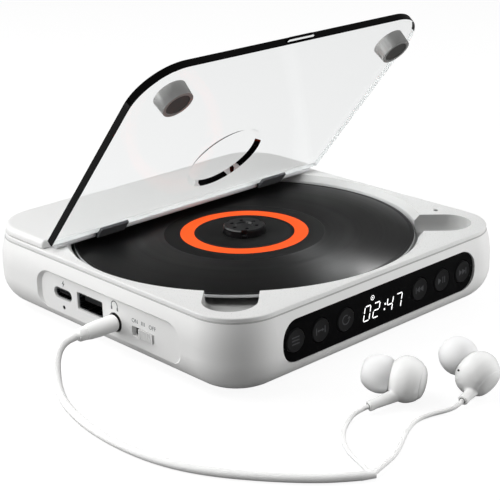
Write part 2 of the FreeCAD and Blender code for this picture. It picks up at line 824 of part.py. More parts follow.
def hinge_knuckles():
    """Two dark knuckles that turn on the pins and carry the lid by a tab under its rear edge."""
    parts = []
    for side in (-1, 1):
        x0 = side * knuckle_x - knuckle_width / 2
        x1 = side * knuckle_x + knuckle_width / 2
        barrel = bar(barrel_radius, V(x0, hinge_y, z_hinge), V(x1, hinge_y, z_hinge))
        tab = box(x0, x1, hinge_y - knuckle_tab, hinge_y, z_lid - knuckle_tab_thickness, z_lid)
        web = box(x0, x1, hinge_y - knuckle_web, hinge_y, z_lid - knuckle_tab_thickness, z_hinge)
        bore = bar(pin_radius + pin_running_gap, V(x0 - overrun, hinge_y, z_hinge),
                   V(x1 + overrun, hinge_y, z_hinge))
        parts.append(opened(fused([barrel, web, tab]).cut(bore)))
    return Part.makeCompound(parts)


def front_lens():
    """Glossy front panel with a hole for each key."""
    lens = front_prism(panel_width, panel_height, panel_corner, panel_y, panel_back_y, 0, z_panel)
    holes = [bar(button_radius + button_gap, V(x, panel_y - overrun, z_panel),
                 V(x, panel_back_y + overrun, z_panel)) for x in button_places]
    return lens.cut(Part.makeCompound(holes))


def button_flange_y():
    """Front of the flange that keeps a key behind the panel."""
    return panel_back_y + button_flange_gap


def button_end_y():
    """Inner end of a key's stem."""
    return button_flange_y() + button_flange_thickness + button_stem


def key_board_y():
    """Front of the key board: the key's travel and the dome lie between it and the stem."""
    return button_end_y() + button_travel + fit_gap + dome_height + dome_strip_thickness


def button(x):
    """Dished round key with a flange behind the panel and a stem over its dome."""
    face = panel_y - button_proud
    flange = button_flange_y()
    back = flange + button_flange_thickness
    rim = button_radius - button_dish
    points = [V(0, face + button_dish, 0), V(rim * dish_ring, face + button_dish * dish_level, 0),
              V(rim, face, 0), V(button_radius, face + button_dish, 0), V(button_radius, flange, 0),
              V(button_radius + button_flange, flange, 0), V(button_radius + button_flange, back, 0),
              V(button_stem_radius, back, 0), V(button_stem_radius, button_end_y(), 0),
              V(0, button_end_y(), 0)]
    key = turned(points, V(0, 0, 0), Y_AXIS)
    key.translate(V(x, 0, z_panel))
    return key


def button_dome_strip():
    """Rubber strips with a dome under each key, one strip on each side of the display."""
    board = key_board_y()
    strips = []
    half = len(button_places) // 2
    for places in (button_places[:half], button_places[half:]):
        margin = dome_radius + dome_margin
        sheet = box(places[0] - margin, places[-1] + margin, board - dome_strip_thickness, board,
                    z_panel - margin, z_panel + margin)
        domes = [Part.makeCone(dome_radius, dome_top_radius, dome_height,
                               V(x, board - dome_strip_thickness, z_panel), V(0, -1, 0)) for x in places]
        strips.append(fused([sheet] + domes))
    return Part.makeCompound(strips)


def display_module():
    """Digit module on the key board, just behind the panel."""
    return box(-display_half_width, display_half_width, panel_back_y + display_gap, key_board_y(),
               z_panel - display_height / 2, z_panel + display_height / 2)


def key_board():
    """Upright board that carries the keys' domes and the display."""
    low = z_floor + key_board_bottom_rise
    return box(-key_board_half_width, key_board_half_width, key_board_y(),
               key_board_y() + key_board_thickness, low, low + key_board_height)


def main_board():
    """Board along the left wall that carries the sockets and the switch."""
    board = box(board_left, board_right, board_front_y, board_rear_y, z_board - board_thickness, z_board)
    holes = [post(board_screw_radius + fit_gap, z_floor, z_board + overrun, x, y)
             for x, y in board_screw_places]
    return board.cut(Part.makeCompound(holes))


def pan_screw(radius, head, head_height, grip, seat, x, y):
    """Screw with a plain round head standing on its seat and its shank going down."""
    return fused([post(head, seat, seat + head_height, x, y), post(radius, seat - grip, seat, x, y)])


def board_screws():
    """Screws that hold the main board on its stands."""
    grip = board_thickness + board_screw_grip - fit_gap
    return Part.makeCompound([pan_screw(board_screw_radius - pin_seat_gap, board_screw_head,
                                        board_screw_head_height, grip, z_board, x, y)
                              for x, y in board_screw_places])


def battery_cell():
    """Flat rechargeable cell lying on the case floor."""
    cell = box(battery_left, battery_right, battery_front, battery_rear,
               z_floor, z_floor + battery_height)
    ends = [edge for edge in cell.Edges
            if edge.BoundBox.YMax - edge.BoundBox.YMin > battery_height]
    return cell.makeFillet(battery_corner, ends)


def socket_shell(width, height, corner, sheet, depth, y, z):
    """Folded metal sleeve of a socket, open to the left."""
    front = port_x + socket_set_back
    sleeve = side_prism(width, height, corner, front, front + depth, y, z)
    return sleeve.cut(side_prism(width - 2 * sheet, height - 2 * sheet, corner - sheet,
                                 front - overrun, front + depth + overrun, y, z))


def socket_insert(width, height, corner, sheet, depth, tongue, offset, y, z):
    """Socket's plastic: back block, contact tongue and the foot that stands on the board."""
    front = port_x + socket_set_back
    back = side_prism(width - 2 * sheet, height - 2 * sheet, corner - sheet,
                      front + depth * socket_back_start, front + depth, y, z)
    blade = box(front + depth * tongue_start, front + depth * tongue_end,
                y - width * tongue_half, y + width * tongue_half,
                z + offset - tongue / 2, z + offset + tongue / 2)
    end = front + depth + heel_thickness
    heel = box(front + depth, end, y - width / 2, y + width / 2, z_board, z + height / 2)
    foot = box(board_left, end, y - width / 2, y + width / 2, z_board, z - height / 2)
    return fused([back, blade, heel, foot])


def headphone_socket():
    """Jack socket: body on the board, round nose in the wall and the bore for the plug."""
    z = z_board + jack_rise
    body = box(wall_inside_x + fit_gap, port_x + jack_depth, jack_y - jack_body_half,
               jack_y + jack_body_half, z_board, z + jack_body_half)
    nose = bar(jack_nose_radius, V(port_x + fit_gap, jack_y, z), V(wall_inside_x + overrun, jack_y, z))
    step = box(wall_inside_x, wall_inside_x + board_left_gap, jack_y - jack_body_half - overrun,
               jack_y + jack_body_half + overrun, 0, z_board)
    bore = bar(jack_bore_radius, V(port_x - overrun, jack_y, z),
               V(port_x + jack_depth - jack_end_wall, jack_y, z))
    return fused([body, nose]).cut(step).cut(bore)


def knob_span():
    """Rear and front ends of the switch knob where it rests, at the front of its window."""
    front = switch_front_y + knob_gap
    return front, front + knob_length


def slide_switch_body():
    """Switch body on the board behind the knob's plate."""
    front = wall_inside_x + 2 * fit_gap + knob_plate_thickness + fit_gap
    return box(front, front + switch_body_depth, switch_front_y - switch_body_margin,
               switch_front_y + switch_window_length + switch_body_margin,
               z_board, z_board + switch_rise + switch_window_height)


def slide_switch_knob():
    """Ribbed sliding knob with the plate that keeps it behind the wall."""
    front, rear = knob_span()
    z = z_board + switch_rise
    half = switch_window_height / 2 - knob_gap
    back = wall_inside_x + 2 * fit_gap
    face = port_x - knob_proud
    knob = box(face, back, front, rear, z - half, z + half)
    pitch = knob_length / knob_ribs
    grooves = [box(face - overrun, face + groove_depth, front + pitch * rib - groove_width / 2,
                   front + pitch * rib + groove_width / 2, z - half - overrun, z + half + overrun)
               for rib in range(1, knob_ribs)]
    plate = box(back, back + knob_plate_thickness, front - knob_plate_margin, rear + knob_plate_margin,
                z - half - knob_plate_margin, z + half + knob_plate_margin)
    return fused([knob.cut(Part.makeCompound(grooves)), plate])


def status_light_pipe():
    """Light guide in the wall with its lamp block on the board."""
    z = z_board + light_rise
    start = port_x + fit_gap
    pipe = bar(light_radius, V(start, light_y, z), V(start + light_length, light_y, z))
    end = start + light_length
    lamp = box(end - lamp_half, end + lamp_depth, light_y - lamp_half, light_y + lamp_half,
               z_board, z_board + 2 * light_rise)
    return fused([pipe, lamp])


def lid_sensor():
    """Small lid sensor under the top plate, with its nose in the plate's hole."""
    return fused([post(sensor_body_radius, z_seam - sensor_body_height, z_seam, sensor_x, sensor_y),
                  post(sensor_hole / 2 - fit_gap, z_seam - overrun, z_top - sensor_set_back,
                       sensor_x, sensor_y)])


def rubber_feet():
    """Four soft feet with rounded edges, set into the underside."""
    feet = []
    for x, y in foot_places:
        foot = post(foot_radius, 0, z_bottom + foot_recess, x, y)
        edge = [e for e in foot.Edges if e.BoundBox.ZMax < hair]
        feet.append(foot.makeFillet(foot_edge, edge))
    return Part.makeCompound(feet)


def case_screws():
    """Four screws from below through the lower shell into the top frame's bosses."""
    screws = []
    for x, y in boss_places:
        head = z_bottom + screw_head_recess
        shank = post(screw_radius - pin_seat_gap, head, z_boss + screw_thread - screw_end_gap, x, y)
        cap = post(screw_head_radius, head - screw_head_height, head, x, y)
        screws.append(fused([shank, cap]))
    return Part.makeCompound(screws)


def drive_chassis():
    """Drive plate with its sled window, ears, rod clips and the feed motor's bracket."""
    near, far, half = chassis_back, chassis_end, chassis_half_width
    cut = chassis_corner_cut
    outline = [V(near, -half, z_chassis), V(far - cut, -half, z_chassis), V(far, -half + cut, z_chassis),
               V(far, half - cut, z_chassis), V(far - cut, half, z_chassis), V(near, half, z_chassis)]
    plate = Part.Face(Part.makePolygon(outline + outline[:1])).extrude(V(0, 0, chassis_thickness))
    ears = [post(ear_radius, z_chassis, z_chassis_top, u, v) for u, v in ear_places]
    clips = []
    inner_end = rod_start + clip_length
    for v, radius in ((rod_v, rod_radius), (-rod_v, rod_radius), (screw_v, lead_screw_radius)):
        side = radius + clip_side
        spans = [(rod_end - clip_length, rod_end)]
        if v != screw_v:
            spans.append((rod_start, inner_end))
        clips += [box(u0, u1, v - side, v + side, z_rod - side, z_chassis) for u0, u1 in spans]
    flange_u = feed_motor_start + feed_motor_length
    reach = feed_motor_radius + feed_motor_gap
    flange = box(flange_u, flange_u + feed_flange, screw_v - feed_motor_radius, screw_v + feed_motor_radius,
                 z_rod - feed_motor_radius, z_chassis)
    plate = fused([plate] + ears)
    room = box(feed_motor_start - feed_motor_gap, flange_u, screw_v - 2 * reach, screw_v + reach,
               z_chassis - overrun, z_chassis_top + overrun)
    window_end = lens_start + lens_travel + sled_outer + sled_window_gap
    cuts = [room, post(motor_boss_radius + fit_gap, z_chassis - overrun, z_chassis_top + overrun),
            box(lens_start - sled_inner - sled_window_gap, window_end, -sled_window_half, sled_window_half,
                z_chassis - overrun, z_chassis_top + overrun)]
    cuts += [post(bush_groove_radius, z_chassis - overrun, z_chassis_top + overrun, u, v)
             for u, v in ear_places]
    body = fused([plate.cut(Part.makeCompound(cuts)), flange] + clips)
    bores = [bar(rod_radius, V(rod_start, v, z_rod), V(rod_end, v, z_rod)) for v in (-rod_v, rod_v)]
    bores.append(bar(lead_screw_radius + lead_screw_gap, V(flange_u - overrun, screw_v, z_rod),
                     V(rod_end + overrun, screw_v, z_rod)))
    return drive(body.cut(Part.makeCompound(bores)))


def damper_bushes():
    """Grooved rubber bushes that hold the drive plate's ears off the case."""
    bushes = []
    for u, v in ear_places:
        low = z_chassis_top - bush_height / 2
        bush = post(bush_radius, low, low + bush_height, u, v)
        groove = post(bush_radius + overrun, z_chassis, z_chassis_top, u, v).cut(
            post(bush_groove_radius, z_chassis, z_chassis_top, u, v))
        bore = post(bush_bore, low - overrun, low + bush_height + overrun, u, v)
        bushes.append(drive(bush.cut(groove).cut(bore)))
    return Part.makeCompound(bushes)


def damper_screws():
    """Screws through the bushes into the stands on the case floor."""
    seat = z_chassis_top + bush_height / 2
    grip = bush_height + damper_screw_grip - fit_gap
    return Part.makeCompound([drive(pan_screw(damper_screw_radius - pin_seat_gap, damper_head_radius,
                                              damper_head_height, grip, seat, u, v))
                              for u, v in ear_places])


def spindle_motor():
    """Flat spindle motor under the drive plate, with its bearing boss through the plate."""
    can = fused([post(motor_radius, z_chassis - motor_height, z_chassis),
                 post(motor_boss_radius, z_chassis - overrun, z_chassis + motor_boss_height)])
    return can.cut(post(shaft_radius + shaft_gap, z_chassis - shaft_sink - shaft_end_gap, z_top))


def spindle_shaft():
    """Shaft that turns in the motor and carries the hub."""
    return post(shaft_radius, z_chassis - shaft_sink, z_disc)


def spindle_hub():
    """Hub with its platter: chamfered centring boss, raised middle, a ring of holes and the pawl slots."""
    radius = disc_hole / 2 - hub_gap
    top = z_disc_top + hub_rise
    under = z_disc - ring_thickness - platter_thickness
    seat = z_disc - ring_thickness
    points = [V(0, 0, under), V(platter_radius, 0, under), V(platter_radius, 0, seat), V(radius, 0, seat),
              V(radius, 0, top - hub_taper), V(radius - hub_taper, 0, top),
              V(hub_boss_radius + hub_boss_flare, 0, top),
              V(hub_boss_radius, 0, top - hub_boss_rise), V(0, 0, top - hub_boss_rise)]
    hub = turned(points)
    cuts = [post(shaft_radius, under - overrun, z_disc)]
    for step in range(hub_holes):
        angle = 2 * math.pi * step / hub_holes
        cuts.append(post(hub_hole_radius, top - hub_hole_depth, top + overrun,
                         hub_hole_circle * math.cos(angle), hub_hole_circle * math.sin(angle)))
    for step in range(pawl_count):
        half = pawl_width / 2 + pawl_gap
        slot = fused([box(radius - pawl_length, radius + overrun, -half, half, z_disc_top,
                          z_disc_top + pawl_height + 2 * pawl_gap),
                      box(radius - pawl_notch, radius + overrun, -half, half, z_disc_top, top + overrun)])
        slot.rotate(V(0, 0, 0), Z_AXIS, 360 * step / pawl_count + pawl_turn)
        cuts.append(slot)
    return hub.cut(Part.makeCompound(cuts))


def hub_pawls():
    """Spring pawls that hold the disc down from the hub's rim."""
    radius = disc_hole / 2 - hub_gap
    pawls = []
    for step in range(pawl_count):
        pawl = box(radius - pawl_length, radius + pawl_overhang, -pawl_width / 2, pawl_width / 2,
                   z_disc_top + pawl_gap, z_disc_top + pawl_gap + pawl_height)
        nose = [e for e in pawl.Edges
                if e.BoundBox.XMin > radius and e.BoundBox.ZMin > z_disc_top + pawl_height / 2
                and e.BoundBox.YMax - e.BoundBox.YMin > pawl_width / 2]
        pawl = pawl.makeFillet(pawl_overhang, nose)
        pawl.rotate(V(0, 0, 0), Z_AXIS, 360 * step / pawl_count + pawl_turn)
        pawls.append(pawl)
    return Part.makeCompound(pawls)


def platter_ring():
    """Rubber ring on the platter, under the disc."""
    return post(ring_outer_radius, z_disc - ring_thickness, z_disc).cut(
        post(ring_outer_radius - ring_width, z_disc - overrun, z_disc + overrun))


def compact_disc():
    """Disc lying on the platter."""
    return post(disc_radius, z_disc, z_disc_top).cut(
        post(disc_hole / 2, z_disc - overrun, z_disc_top + overrun))


def pickup_sled():
    """Pickup sled: bearing block on the rods, upper body in the plate's window and lens holder."""
    inner = lens_start - sled_inner
    outer = lens_start + sled_outer
    deck = z_well_under - sled_headroom
    lower = box(inner, outer, -sled_lower_half, sled_lower_half, z_rod - sled_under_rod,
                z_chassis - sled_below_plate)
    upper = box(inner, outer, -sled_upper_half, sled_upper_half, z_rod, deck)
    nut = box(lens_start - nut_width / 2, lens_start + nut_width / 2,
              screw_v - lead_screw_radius - nut_side, -sled_lower_half,
              z_rod - sled_under_rod, z_chassis - sled_below_plate)
    holder = box(lens_start - lens_block_half, lens_start + lens_block_half, -lens_block_half,
                 lens_block_half, deck, z_disc - lens_clearance - lens_dome)
    rise = [e for e in holder.Edges if e.BoundBox.ZMax - e.BoundBox.ZMin > hair]
    holder = holder.makeFillet(holder_round, rise)
    bores = [bar(rod_radius + rod_gap, V(inner - overrun, v, z_rod), V(outer + overrun, v, z_rod))
             for v in (-rod_v, rod_v)]
    bores.append(bar(lead_screw_radius + lead_screw_gap, V(inner - overrun, screw_v, z_rod),
                     V(outer + overrun, screw_v, z_rod)))
    return drive(fused([lower, upper, nut, holder]).cut(Part.makeCompound(bores)))


def objective_lens():
    """Domed lens on top of its holder."""
    base = z_disc - lens_clearance - lens_dome
    curve = (lens_radius ** 2 + lens_dome ** 2) / (2 * lens_dome)
    ball = Part.makeSphere(curve, V(lens_start, 0, base + lens_dome - curve))
    return drive(ball.common(post(lens_radius + overrun, base, base + lens_dome + overrun, lens_start, 0)))


def guide_rods():
    """Two ground rods that the sled runs on."""
    return Part.makeCompound([drive(bar(rod_radius, V(rod_start, v, z_rod), V(rod_end, v, z_rod)))
                              for v in (-rod_v, rod_v)])


def sled_motor():
    """Feed motor behind its bracket, with a bore for the screw's end."""
    end = feed_motor_start + feed_motor_length
    can = bar(feed_motor_radius, V(feed_motor_start, screw_v, z_rod), V(end, screw_v, z_rod))
    bore = bar(lead_screw_radius + lead_screw_gap, V(end - feed_shaft_sink - shaft_end_gap, screw_v, z_rod),
               V(end + overrun, screw_v, z_rod))
    return drive(can.cut(bore))


def lead_screw():
    """Feed screw from the motor to the far clip."""
    start = feed_motor_start + feed_motor_length - feed_shaft_sink
    return drive(bar(lead_screw_radius, V(start, screw_v, z_rod), V(rod_end, screw_v, z_rod)))


def earphone_plug():
    """Plug's metal contact in the socket's bore, with its waist and pointed tip."""
    tip = plug_tip
    points = [V(0, 0, 0), V(plug_radius, 0, 0), V(plug_radius, 0, plug_length - tip),
              V(plug_waist, 0, plug_length - tip), V(plug_radius, 0, plug_length - plug_cone),
              V(plug_nose, 0, plug_length), V(0, 0, plug_length)]
    pin = turned(points)
    pin.rotate(V(0, 0, 0), Y_AXIS, 90)
    pin.translate(V(port_x - fit_gap, jack_y, z_board + jack_rise))
    return pin


def plug_grip():
    """Moulded grip of the plug, tapering to the cord."""
    end = grip_length - fit_gap
    points = [V(0, 0, 0), V(grip_radius, 0, 0), V(grip_radius, 0, grip_straight),
              V(grip_end_radius + grip_end_taper, 0, end - grip_end_length),
              V(grip_end_radius, 0, end), V(0, 0, end)]
    grip = turned(points)
    grip.rotate(V(0, 0, 0), Y_AXIS, -90)
    grip.translate(V(port_x - fit_gap, jack_y, z_board + jack_rise))
    return grip


def cord(name, route, radius):
    """Tube along straight runs joined by the largest tangent arcs that the runs allow."""
    runs = [b - a for a, b in zip(route, route[1:])]
    edges = []
    radii = []
    here = route[0]
    for index in range(1, len(route) - 1):
        before, after = runs[index - 1], runs[index]
        turn = before.getAngle(after)
        reach = arc_share * min(before.Length, after.Length)
        ahead, onward = V(before).normalize(), V(after).normalize()
        start = route[index] - ahead * reach
        end = route[index] + onward * reach
        bend = reach / math.tan(turn / 2)
        inward = (onward - ahead).normalize()
        middle = route[index] + inward * (bend / math.cos(turn / 2) - bend)
        edges.append(Part.LineSegment(here, start).toShape())
        edges.append(Part.Arc(start, middle, end).toShape())
        radii.append(round(bend, 1))
        here = end
    edges.append(Part.LineSegment(here, route[-1]).toShape())
    path = Part.Wire(edges)
    ring = Part.Wire(Part.makeCircle(radius, route[0], runs[0]))
    tube = path.makePipeShell([ring], True, False)
    share = tube.Volume / (math.pi * radius ** 2 * path.Length)
    print(name, "length", round(path.Length, 1), "volume share", round(share, 4), "radii", radii)
    return tube


def cord_splitter():
    """Small moulded fork where the main cord divides in two."""
    run = split_centre - main_route[-1]
    body = Part.makeCone(main_cord_radius + split_margin, split_nose_radius, run.Length + split_nose,
                         main_route[-1], run)
    stubs = [bar(thin_cord_radius + split_margin, split_centre, route[0])
             for route in (left_route, right_route)]
    return fused([body] + stubs)


def earbud(centre, aim, stem_root, stem_end):
    """Earbud shell: bulb with a nozzle towards the ear and a stem to the cord."""
    points = [V(0, 0, -bud_back), V(bud_back_radius, 0, -bud_back_depth), V(bud_radius, 0, 0),
              V(bud_front_radius, 0, bud_front_depth), V(nozzle_radius + bud_lip, 0, bud_front)]
    back = Part.Arc(points[0], points[1], points[2]).toShape()
    front = Part.Arc(points[2], points[3], points[4]).toShape()
    neck = [V(nozzle_radius, 0, bud_front), V(nozzle_radius, 0, bud_front + nozzle_length),
            V(0, 0, bud_front + nozzle_length), points[0]]
    lines = [Part.makeLine(a, b) for a, b in zip([points[4]] + neck, neck)]
    bulb = Part.Face(Part.Wire([back, front] + lines)).revolve(V(0, 0, 0), Z_AXIS, 360)
    aimed(bulb, centre, aim)
    run = stem_root - stem_end
    stem = Part.makeCone(stem_end_radius, stem_root_radius, run.Length, stem_end, run)
    return fused([bulb, stem])


def ear_tip(centre, aim):
    """Silicone tip: a dome with a skirt round the nozzle."""
    bore = nozzle_radius + ear_tip_gap
    start = ear_tip_start
    top = start + ear_tip_length
    skirt = V(ear_tip_radius, 0, start)
    shoulder = V(tip_shoulder_radius, 0, start + tip_shoulder_rise)
    mouth = V(bore + tip_lip, 0, top)
    inside = [V(bore, 0, top), V(bore, 0, start + tip_hollow),
              V(ear_tip_radius - tip_skin, 0, start)]
    lines = [Part.makeLine(a, b) for a, b in zip([mouth] + inside, inside + [skirt])]
    dome = Part.Face(Part.Wire([Part.Arc(skirt, shoulder, mouth).toShape()] + lines))
    tip = dome.revolve(V(0, 0, 0), Z_AXIS, 360)
    return aimed(tip, centre, aim)


def aimed(shape, centre, aim):
    """Turn a piece made along +Z to point along aim, and move it to its centre."""
    shape.Placement = FreeCAD.Placement(centre, FreeCAD.Rotation(Z_AXIS, aim))
    return shape


def usb_a():
    """Shell and insert of the larger socket."""
    size = (usb_a_shell_width, usb_a_shell_height, usb_a_corner, usb_a_sheet, usb_a_depth)
    place = (usb_a_y, z_board + usb_a_rise)
    return socket_shell(*size, *place), socket_insert(*size, usb_a_tongue, usb_a_tongue_rise, *place)


def usb_c():
    """Shell and insert of the charging socket."""
    size = (usb_c_shell_width, usb_c_shell_height, usb_c_shell_height / 2, usb_c_sheet, usb_c_depth)
    place = (usb_c_y, z_board + usb_c_rise)
    insert = socket_insert(*size, usb_c_tongue, 0.0, *place)
    tunnel = box(-case_half, 0, light_y - lamp_half - fit_gap, light_y + lamp_half + fit_gap,
                 0, z_board + 2 * light_rise + fit_gap)
    return socket_shell(*size, *place), insert.cut(tunnel)


def all_pieces():
    """Every piece by its node name."""
    usb_a_shell, usb_a_insert = usb_a()
    usb_c_shell, usb_c_insert = usb_c()
    pieces = {
        "bottom_housing": bottom_housing(), "top_frame": top_frame(), "rear_deck": rear_deck(),
        "hinge_pins": hinge_pins(), "lid_panel": lid_panel(), "lid_posts": lid_posts(),
        "lid_post_pads": lid_post_pads(), "hinge_knuckles": hinge_knuckles(), "front_lens": front_lens(),
        "button_dome_strip": button_dome_strip(), "display_module": display_module(),
        "key_board": key_board(), "main_board": main_board(), "board_screws": board_screws(),
        "battery_cell": battery_cell(), "usb_a_shell": usb_a_shell, "usb_a_insert": usb_a_insert,
        "usb_c_shell": usb_c_shell, "usb_c_insert": usb_c_insert, "headphone_socket": headphone_socket(),
        "slide_switch_body": slide_switch_body(), "slide_switch_knob": slide_switch_knob(),
        "status_light_pipe": status_light_pipe(), "lid_sensor": lid_sensor(), "rubber_feet": rubber_feet(),
        "case_screws": case_screws(), "drive_chassis": drive_chassis(), "damper_bushes": damper_bushes(),
        "damper_screws": damper_screws(), "spindle_motor": spindle_motor(),
        "spindle_shaft": spindle_shaft(), "spindle_hub": spindle_hub(),
        "hub_pawls": hub_pawls(), "platter_ring": platter_ring(),
        "compact_disc": compact_disc(), "pickup_sled": pickup_sled(), "objective_lens": objective_lens(),
        "guide_rods": guide_rods(), "sled_motor": sled_motor(), "lead_screw": lead_screw(),
        "earphone_plug": earphone_plug(), "plug_grip": plug_grip(),
        "earphone_cord": cord("earphone_cord", main_route, main_cord_radius),
        "cord_splitter": cord_splitter(),
        "left_cord": cord("left_cord", left_route, thin_cord_radius),
        "right_cord": cord("right_cord", right_route, thin_cord_radius),
        "left_earbud": earbud(left_bud_centre, left_bud_aim, left_stem_root, left_route[-1]),
        "left_ear_tip": ear_tip(left_bud_centre, left_bud_aim),
        "right_earbud": earbud(right_bud_centre, right_bud_aim, right_stem_root, right_route[-1]),
        "right_ear_tip": ear_tip(right_bud_centre, right_bud_aim),
    }
    for name, x in zip(button_names, button_places):
        pieces[name + "_button"] = button(x)
    return pieces


os.makedirs("parts", exist_ok=True)
for node, piece in all_pieces().items():
    print(node, "solids", len(piece.Solids), "valid", piece.isValid(), "volume", round(piece.Volume, 1))
    piece.exportStep("parts/" + node + ".step")
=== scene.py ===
"""Looks of a portable disc player with a clear lid and wired earphones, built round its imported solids.

Every object is in metres in the part's own frame. The origin is on the table under the spindle,
+X runs to the right along the front, +Y to the rear and +Z up. Sizes in the classes below are in
millimetres unless they say otherwise.
"""
import logging
import math
from dataclasses import dataclass
from enum import Enum
from typing import Any, Callable, Sequence

import bmesh
import bpy
from mathutils import Matrix, Vector


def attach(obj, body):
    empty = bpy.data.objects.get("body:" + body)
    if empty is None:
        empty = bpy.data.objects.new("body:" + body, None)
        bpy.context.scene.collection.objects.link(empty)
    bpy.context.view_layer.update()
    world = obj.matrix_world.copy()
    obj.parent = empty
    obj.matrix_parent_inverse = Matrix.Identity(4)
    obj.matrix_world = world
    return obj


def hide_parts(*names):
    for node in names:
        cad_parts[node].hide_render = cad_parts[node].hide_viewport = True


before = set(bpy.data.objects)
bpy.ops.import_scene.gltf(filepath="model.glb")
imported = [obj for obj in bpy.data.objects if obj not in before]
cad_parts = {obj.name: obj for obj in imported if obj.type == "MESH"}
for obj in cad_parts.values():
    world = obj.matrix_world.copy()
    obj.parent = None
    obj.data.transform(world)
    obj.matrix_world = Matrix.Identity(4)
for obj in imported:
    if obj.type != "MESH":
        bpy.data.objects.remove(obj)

LOG = logging.getLogger("disc_player")
MM = 0.001
IMAGE_SIDE = 500
SENSOR_MM = 36.0
# Share of the white backdrop that shows through the clear lid.
LID_VEIL = 0.88
Z_AXIS = Vector((0, 0, 1)).freeze()

Tree = bpy.types.NodeTree
Node = bpy.types.Node
Socket = bpy.types.NodeSocket
Piece = bpy.types.Object
Shape = bmesh.types.BMesh
Point = tuple[float, float, float]
Flat = tuple[float, float]
Outline = tuple[Flat, ...]
Placer = Callable[[float, float, float], Vector]


def clear_startup() -> None:
    """Remove what Blender's own start-up scene holds, so that only the frame is left."""
    for name in ("Cube", "Light", "Camera"):
        if name in bpy.data.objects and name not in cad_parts:
            bpy.data.objects.remove(bpy.data.objects[name])


def linear(hex_colour: str) -> tuple[float, float, float, float]:
    """Turn an sRGB hex colour into linear light.

    Args:
        hex_colour: Six hex digits with or without a leading hash.

    Returns:
        Red, green, blue and an alpha of one.
    """
    digits = hex_colour.lstrip("#")
    channels = [int(digits[i:i + 2], 16) / 255 for i in (0, 2, 4)]
    red, green, blue = (c / 12.92 if c <= 0.04045 else ((c + 0.055) / 1.055) ** 2.4 for c in channels)
    return red, green, blue, 1.0


def add_node(tree: Tree, kind: str, sockets: dict[str | int, Any] | None = None,
             **settings: Any) -> Node:
    """Add one node, with its settings, its socket values and the links into it.

    Args:
        tree: Node tree that takes the node.
        kind: Node type without its leading "ShaderNode".
        sockets: Input name or index, with a value, an output to link, or a node to link by its first output.
        settings: Attributes of the node.

    Returns:
        The new node.
    """
    node = tree.nodes.new("ShaderNode" + kind)
    for name, value in settings.items():
        setattr(node, name, value)
    for name, value in (sockets or {}).items():
        if isinstance(value, Node):
            value = value.outputs[0]
        if isinstance(value, Socket):
            tree.links.new(value, node.inputs[name])
        else:
            node.inputs[name].default_value = value
    return node


def radius_of(tree: Tree, place: Socket) -> Socket:
    """Add the nodes that give a place's distance from the piece's own Z axis.

    Args:
        tree: Node tree that takes the nodes.
        place: Output with the place.

    Returns:
        Output with the distance, in metres.
    """
    flat = add_node(tree, "VectorMath", {0: place, 1: (1.0, 1.0, 0.0)}, operation="MULTIPLY")
    return add_node(tree, "VectorMath", {0: flat}, operation="LENGTH").outputs["Value"]


def darker(colour: Sequence[float], share: float) -> Sequence[float]:
    """Give a linear colour with the given share of its light taken away."""
    return tuple(c * (1 - share) for c in colour[:3]) + (1.0,)


class Surface:
    """Anything that dresses a piece: its name, and the nodes that give its looks."""

    name: str

    def shade(self, tree: Tree) -> Node:
        """Add the surface's nodes to a tree and give the last one."""
        raise NotImplementedError

    def material(self) -> bpy.types.Material:
        """Give the Blender material, which is made once and then shared.

        Returns:
            The material.
        """
        material = bpy.data.materials.get(self.name)
        if material is None:
            material = bpy.data.materials.new(self.name)
            material.use_nodes = True
            tree = material.node_tree
            tree.nodes.clear()
            add_node(tree, "OutputMaterial", {"Surface": self.shade(tree)})
        return material


class Making(Enum):
    """How a surface was made, which decides its fine pattern."""

    MOULDED = "moulded"
    POLISHED = "polished"
    BRUSHED = "brushed"
    TURNED = "turned"


@dataclass(frozen=True)
class Finish(Surface):
    """One material: what it is, its colour, and the pattern that its making leaves."""

    name: str
    colour: str
    roughness: float
    making: Making = Making.MOULDED
    grain: float = 0.4
    relief: float = 0.006
    cloud: float = 0.03
    spread: float = 0.05
    metallic: float = 0.0
    ior: float = 1.5
    gloss: float = 0.5
    subsurface: float = 0.0
    transmission: float = 0.0
    glow: float = 0.0

    def shade(self, tree: Tree) -> Node:
        """Add the nodes: a colour with faint clouds, and a fine pattern in its gloss and relief.

        Args:
            tree: Node tree of the material.

        Returns:
            The last shader.
        """
        place = add_node(tree, "TexCoord").outputs["Object"]
        if self.making is Making.BRUSHED:
            place = add_node(tree, "Mapping", {"Vector": place, "Scale": (0.04, 1.0, 1.0)})
        if self.making is Making.TURNED:
            place = add_node(tree, "CombineXYZ", {"X": radius_of(tree, place)})
        fine = add_node(tree, "TexNoise", {
            "Vector": place, "Scale": 1 / (self.grain * MM), "Detail": 3.0, "Roughness": 0.55})
        broad = add_node(tree, "TexNoise", {
            "Vector": place, "Scale": 1 / (40 * self.grain * MM), "Detail": 2.0})
        base = linear(self.colour)
        tint = add_node(tree, "Mix", {0: broad, 6: darker(base, self.cloud), 7: base}, data_type="RGBA")
        rough = add_node(tree, "MapRange", {
            0: fine, 1: 0.25, 2: 0.75, 3: max(self.roughness - self.spread, 0.0),
            4: self.roughness + self.spread})
        bump = add_node(tree, "Bump", {"Height": fine, "Strength": 0.4, "Distance": self.relief * MM})
        shader = add_node(tree, "BsdfPrincipled", {
            "Base Color": tint.outputs[2], "Roughness": rough, "Normal": bump, "Metallic": self.metallic,
            "IOR": self.ior, "Specular IOR Level": self.gloss, "Subsurface Weight": self.subsurface,
            "Subsurface Scale": 1.5 * MM, "Subsurface Radius": (1.0, 1.0, 1.0),
            "Transmission Weight": self.transmission})
        if self.glow:
            shader.inputs["Emission Color"].default_value = base
            shader.inputs["Emission Strength"].default_value = self.glow
        return shader


